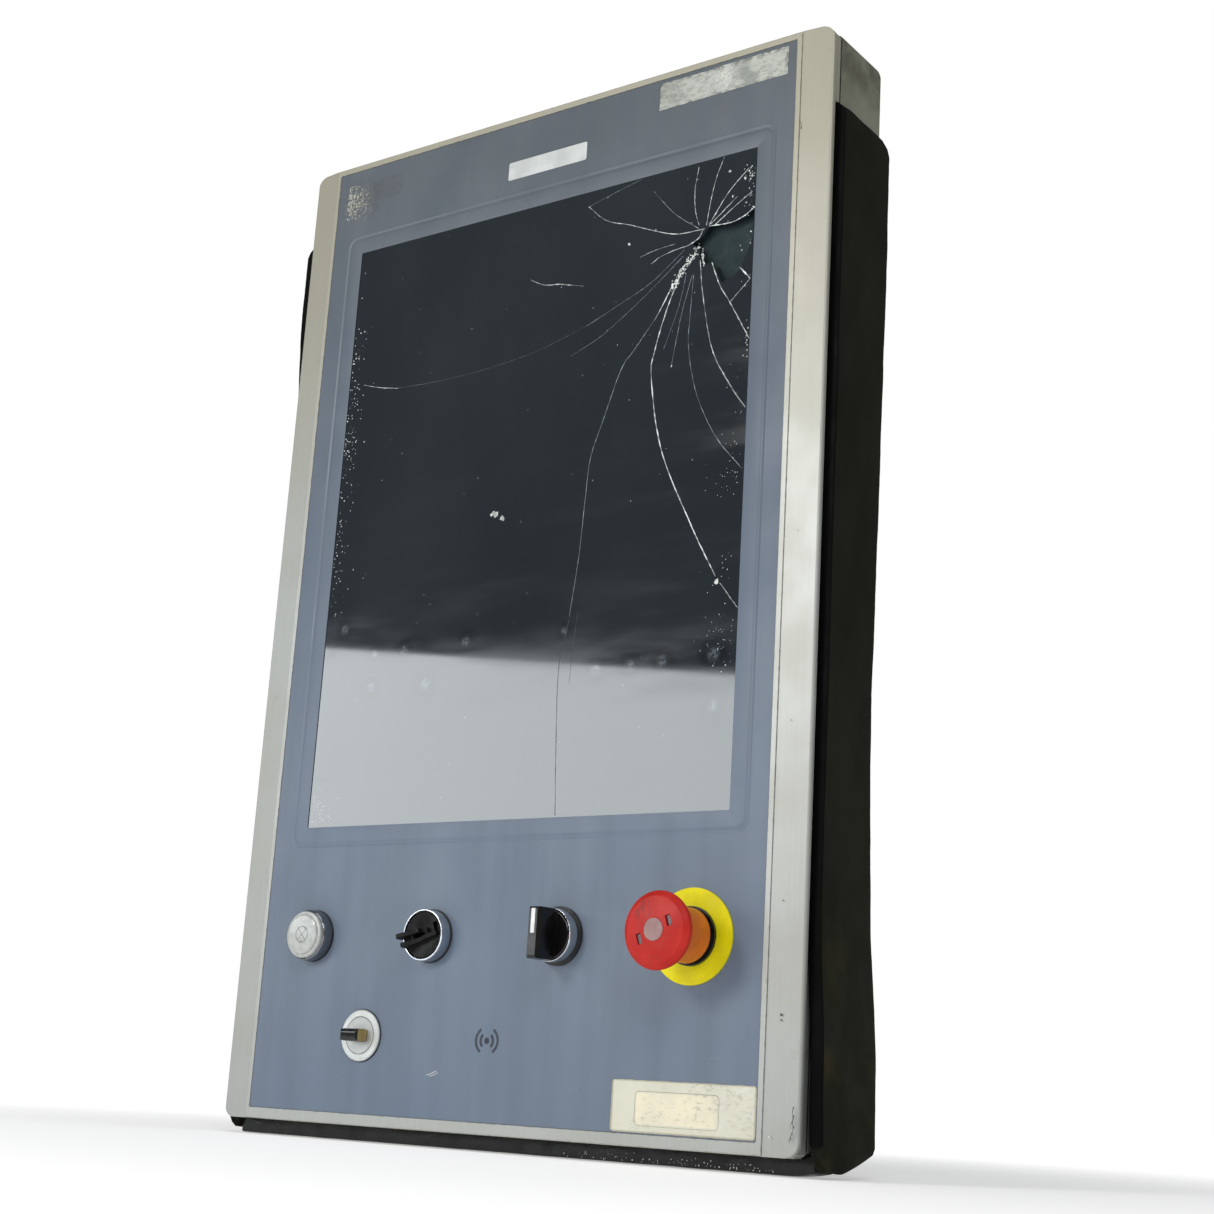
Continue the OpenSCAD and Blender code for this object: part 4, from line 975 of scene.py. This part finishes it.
# How far each pad stands off the housing, by height
FLARE = 5.2
OFF_RIGHT = [(-13.5, FLARE), (30, FLARE * 0.8), (120, 0), (430, 0), (557, 0)]
OFF_LEFT = [(-13.5, 0), (30, 0), (120, 0), (430, 0), (520, FLARE), (557, FLARE)]
side_pad("rubber_pad_right", "side_pad_right", 1, OFF_RIGHT, 1.7)
side_pad("rubber_pad_left", "side_pad_left", -1, OFF_LEFT, 5.1)


# The bottom pad is shallower towards its ends than along its middle
HEEL_X, WING_DEPTH = 164.9, 17.9


def bottom_pad():
    """The tacky pad under the housing, its front edge slightly wavy."""
    lo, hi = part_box("bottom_pad")
    lo, hi = (lo / MM), (hi / MM)
    verts, faces = [], []
    height = hi.z - lo.z
    places = [lo.x + 0.05 + (hi.x - lo.x - 0.1) * k / 260 for k in range(261)]
    places = sorted(places + [s * (HEEL_X + d) for s in (-1, 1) for d in (-0.02, 0.02)])
    stations = len(places) - 1
    for x in places:
        depth = hi.y - lo.y if abs(x) < HEEL_X else WING_DEPTH
        loop = pad_section(depth - 0.2, height - 0.05, 1.0, 8)
        m = len(loop)
        for up, along in loop:
            y = lo.y + depth / 2 + along
            z = (lo.z + hi.z) / 2 + up
            if up < 0:
                z += 1.9 * max(0.0, (x - 186) / 13.8) ** 1.5
            if along < -depth / 2 + 3:
                y += 0.4 + 0.45 * noise.noise(Vector((x * 0.06, z * 0.3, 2.2)))
                if z < lo.z + 3:
                    z += 0.15 + 0.15 * noise.noise(Vector((x * 0.05, 7, 1)))
            verts.append(Vector((x, y, z)) * MM)
    for k in range(stations):
        a, b = k * m, (k + 1) * m
        faces += [[a + i, b + i, b + (i + 1) % m, a + (i + 1) % m] for i in range(m)]
    faces += [list(reversed(range(m))), [stations * m + i for i in range(m)]]
    pad = piece("rubber_pad_bottom", verts, faces, glossy_foam(), slot="pad_rubber", smooth=True,
                stands_for=("bottom_pad",))
    pad.data.set_sharp_from_angle(angle=math.radians(50))


bottom_pad()

# ---------------------------------------------------------------- control device detail


def legend_symbol():
    """Lamp symbol on the push-button's legend: a ring with a diagonal cross."""
    out = (FILM_LO.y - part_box("button_lens")[0].y) / MM
    rng = random.Random(41)
    verts, faces = [], []
    ring_r, arm, line = 4.6, 3.2, 0.03
    ring = circle(BUTTON_X, ROW_Z, ring_r, 36)
    ridge(verts, faces, ring + ring[:1], lambda t: 0.8, out, line, rng)
    for s in (-1, 1):
        a, b = Vector((BUTTON_X - arm, ROW_Z - arm * s)), Vector((BUTTON_X + arm, ROW_Z + arm * s))
        ridge(verts, faces, [a, a.lerp(b, 0.5), b], lambda t: 0.7, out, line, rng)
    grey = plastic("legend_grey", (0.24, 0.25, 0.25), 0.6, 0.5, (0.5, 0.5, 0.48))
    piece("legend_lamp_symbol", verts, faces, grey, body="button", slot="black_plastic")


legend_symbol()


def return_spring():
    """The push-button's coil spring."""
    lo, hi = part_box("button_spring")
    mid = (lo + hi) / 2
    wire, turns, steps, sides = 0.4 * MM, 6, 144, 8
    r = (hi.x - lo.x) / 2 - wire
    front, rear = lo.y + wire, hi.y - wire
    verts, faces = [], []
    for i in range(steps + 1):
        a, y = math.tau * turns * i / steps, front + (rear - front) * i / steps
        for k in range(sides):
            b = math.tau * k / sides
            reach = r + wire * math.cos(b)
            verts.append((mid.x + reach * math.cos(a), y + wire * math.sin(b), mid.z + reach * math.sin(a)))
    for i in range(steps):
        a, b = i * sides, (i + 1) * sides
        faces += [[a + k, b + k, b + (k + 1) % sides, a + (k + 1) % sides] for k in range(sides)]
    faces += [list(range(sides)), [steps * sides + k for k in reversed(range(sides))]]
    spring = piece("coil_return_spring", verts, faces, slot="steel", smooth=True,
                   stands_for=("button_spring",))
    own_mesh(spring)


return_spring()

# ---------------------------------------------------------------- stage, lights and camera


# Where the floor starts and ends its blend into the white studio, in metres from the object
BLEND_NEAR, BLEND_FAR = 0.25, 0.9


def stage_floor():
    """White paper that blends into the lit white studio some way from the object."""
    mesh = bpy.data.meshes.new("floor")
    size, under = 30.0, -0.0004
    corners = ((-size, -size), (size, -size), (size, size), (-size, size))
    mesh.from_pydata([(x, y, under) for x, y in corners], [], [[0, 1, 2, 3]])
    k = Look("floor_paper", (0.86, 0.86, 0.85), 0.75)
    x, y = k.axis("X"), k.axis("Y")
    away = k.distance(x, y)
    k.put(k.shader.inputs["Emission Strength"], k.step(away, BLEND_NEAR, BLEND_FAR, 0.38, 1.0))
    k.shader.inputs["Emission Color"].default_value = (1, 1, 1, 1)
    mesh.materials.append(k.done(k.mix(k.step(away, BLEND_NEAR, BLEND_FAR), (0.86, 0.86, 0.855), (0.1, 0.1, 0.1))))
    linked("floor", mesh)


LIGHT_AIM = Vector((0, 0, 0.3))


def area_light(name, at, size, power, colour=(1, 1, 1)):
    """A plain rectangular softbox that faces the middle of the object."""
    data = bpy.data.lights.new(name, "AREA")
    data.shape = "RECTANGLE"
    data.size, data.size_y = size
    data.energy = power
    data.color = colour
    obj = linked(name, data)
    obj.location = at
    obj.rotation_euler = (LIGHT_AIM - Vector(at)).to_track_quat("-Z", "Y").to_euler()


def world_light(white, ambient):
    """White behind the object for the camera, and a dimmer even light on everything else."""
    world = bpy.data.worlds.new("studio")
    bpy.context.scene.world = world
    world.use_nodes = True
    tree = world.node_tree
    back = tree.nodes["Background"]
    back.inputs["Color"].default_value = (0.95, 0.97, 1.0, 1)
    back.inputs["Strength"].default_value = ambient
    seen = tree.nodes.new("ShaderNodeBackground")
    seen.inputs["Color"].default_value = (1, 1, 1, 1)
    seen.inputs["Strength"].default_value = white
    path = tree.nodes.new("ShaderNodeLightPath")
    mix = tree.nodes.new("ShaderNodeMixShader")
    tree.links.new(path.outputs["Is Camera Ray"], mix.inputs[0])
    tree.links.new(back.outputs[0], mix.inputs[1])
    tree.links.new(seen.outputs[0], mix.inputs[2])
    tree.links.new(mix.outputs[0], tree.nodes["World Output"].inputs["Surface"])


def camera():
    """Low and to the right of the object, slightly rolled. The lens is in mm, the roll in degrees."""
    at, aim = Vector((0.6907, -0.8694, 0.0317)), Vector((0.0654, -0.018, 0.2971))
    roll, lens = 3.42, 57.97
    data = bpy.data.cameras.new("camera")
    data.sensor_width = 36
    data.lens = lens
    obj = linked("camera", data)
    turn = (aim - at).to_track_quat("-Z", "Y") @ Quaternion((0, 0, 1), math.radians(roll))
    obj.rotation_mode = "QUATERNION"
    obj.location, obj.rotation_quaternion = at, turn
    bpy.context.scene.camera = obj


stage_floor()
world_light(1.0, 0.17)
area_light("key", (-0.55, -1.75, 0.95), (0.45, 0.5), 13.5, (1.0, 0.985, 0.95))
area_light("fill_right", (1.3, -1.5, 1.5), (0.8, 0.8), 13, (0.96, 0.98, 1.0))
area_light("top", (0.0, -0.3, 2.2), (1.2, 1.2), 7)
area_light("low_softbox", (-1.35, -1.75, 0.5), (1.1, 0.5), 8, (0.92, 0.97, 1.0))
camera()
bpy.context.scene.view_settings.view_transform = "Standard"
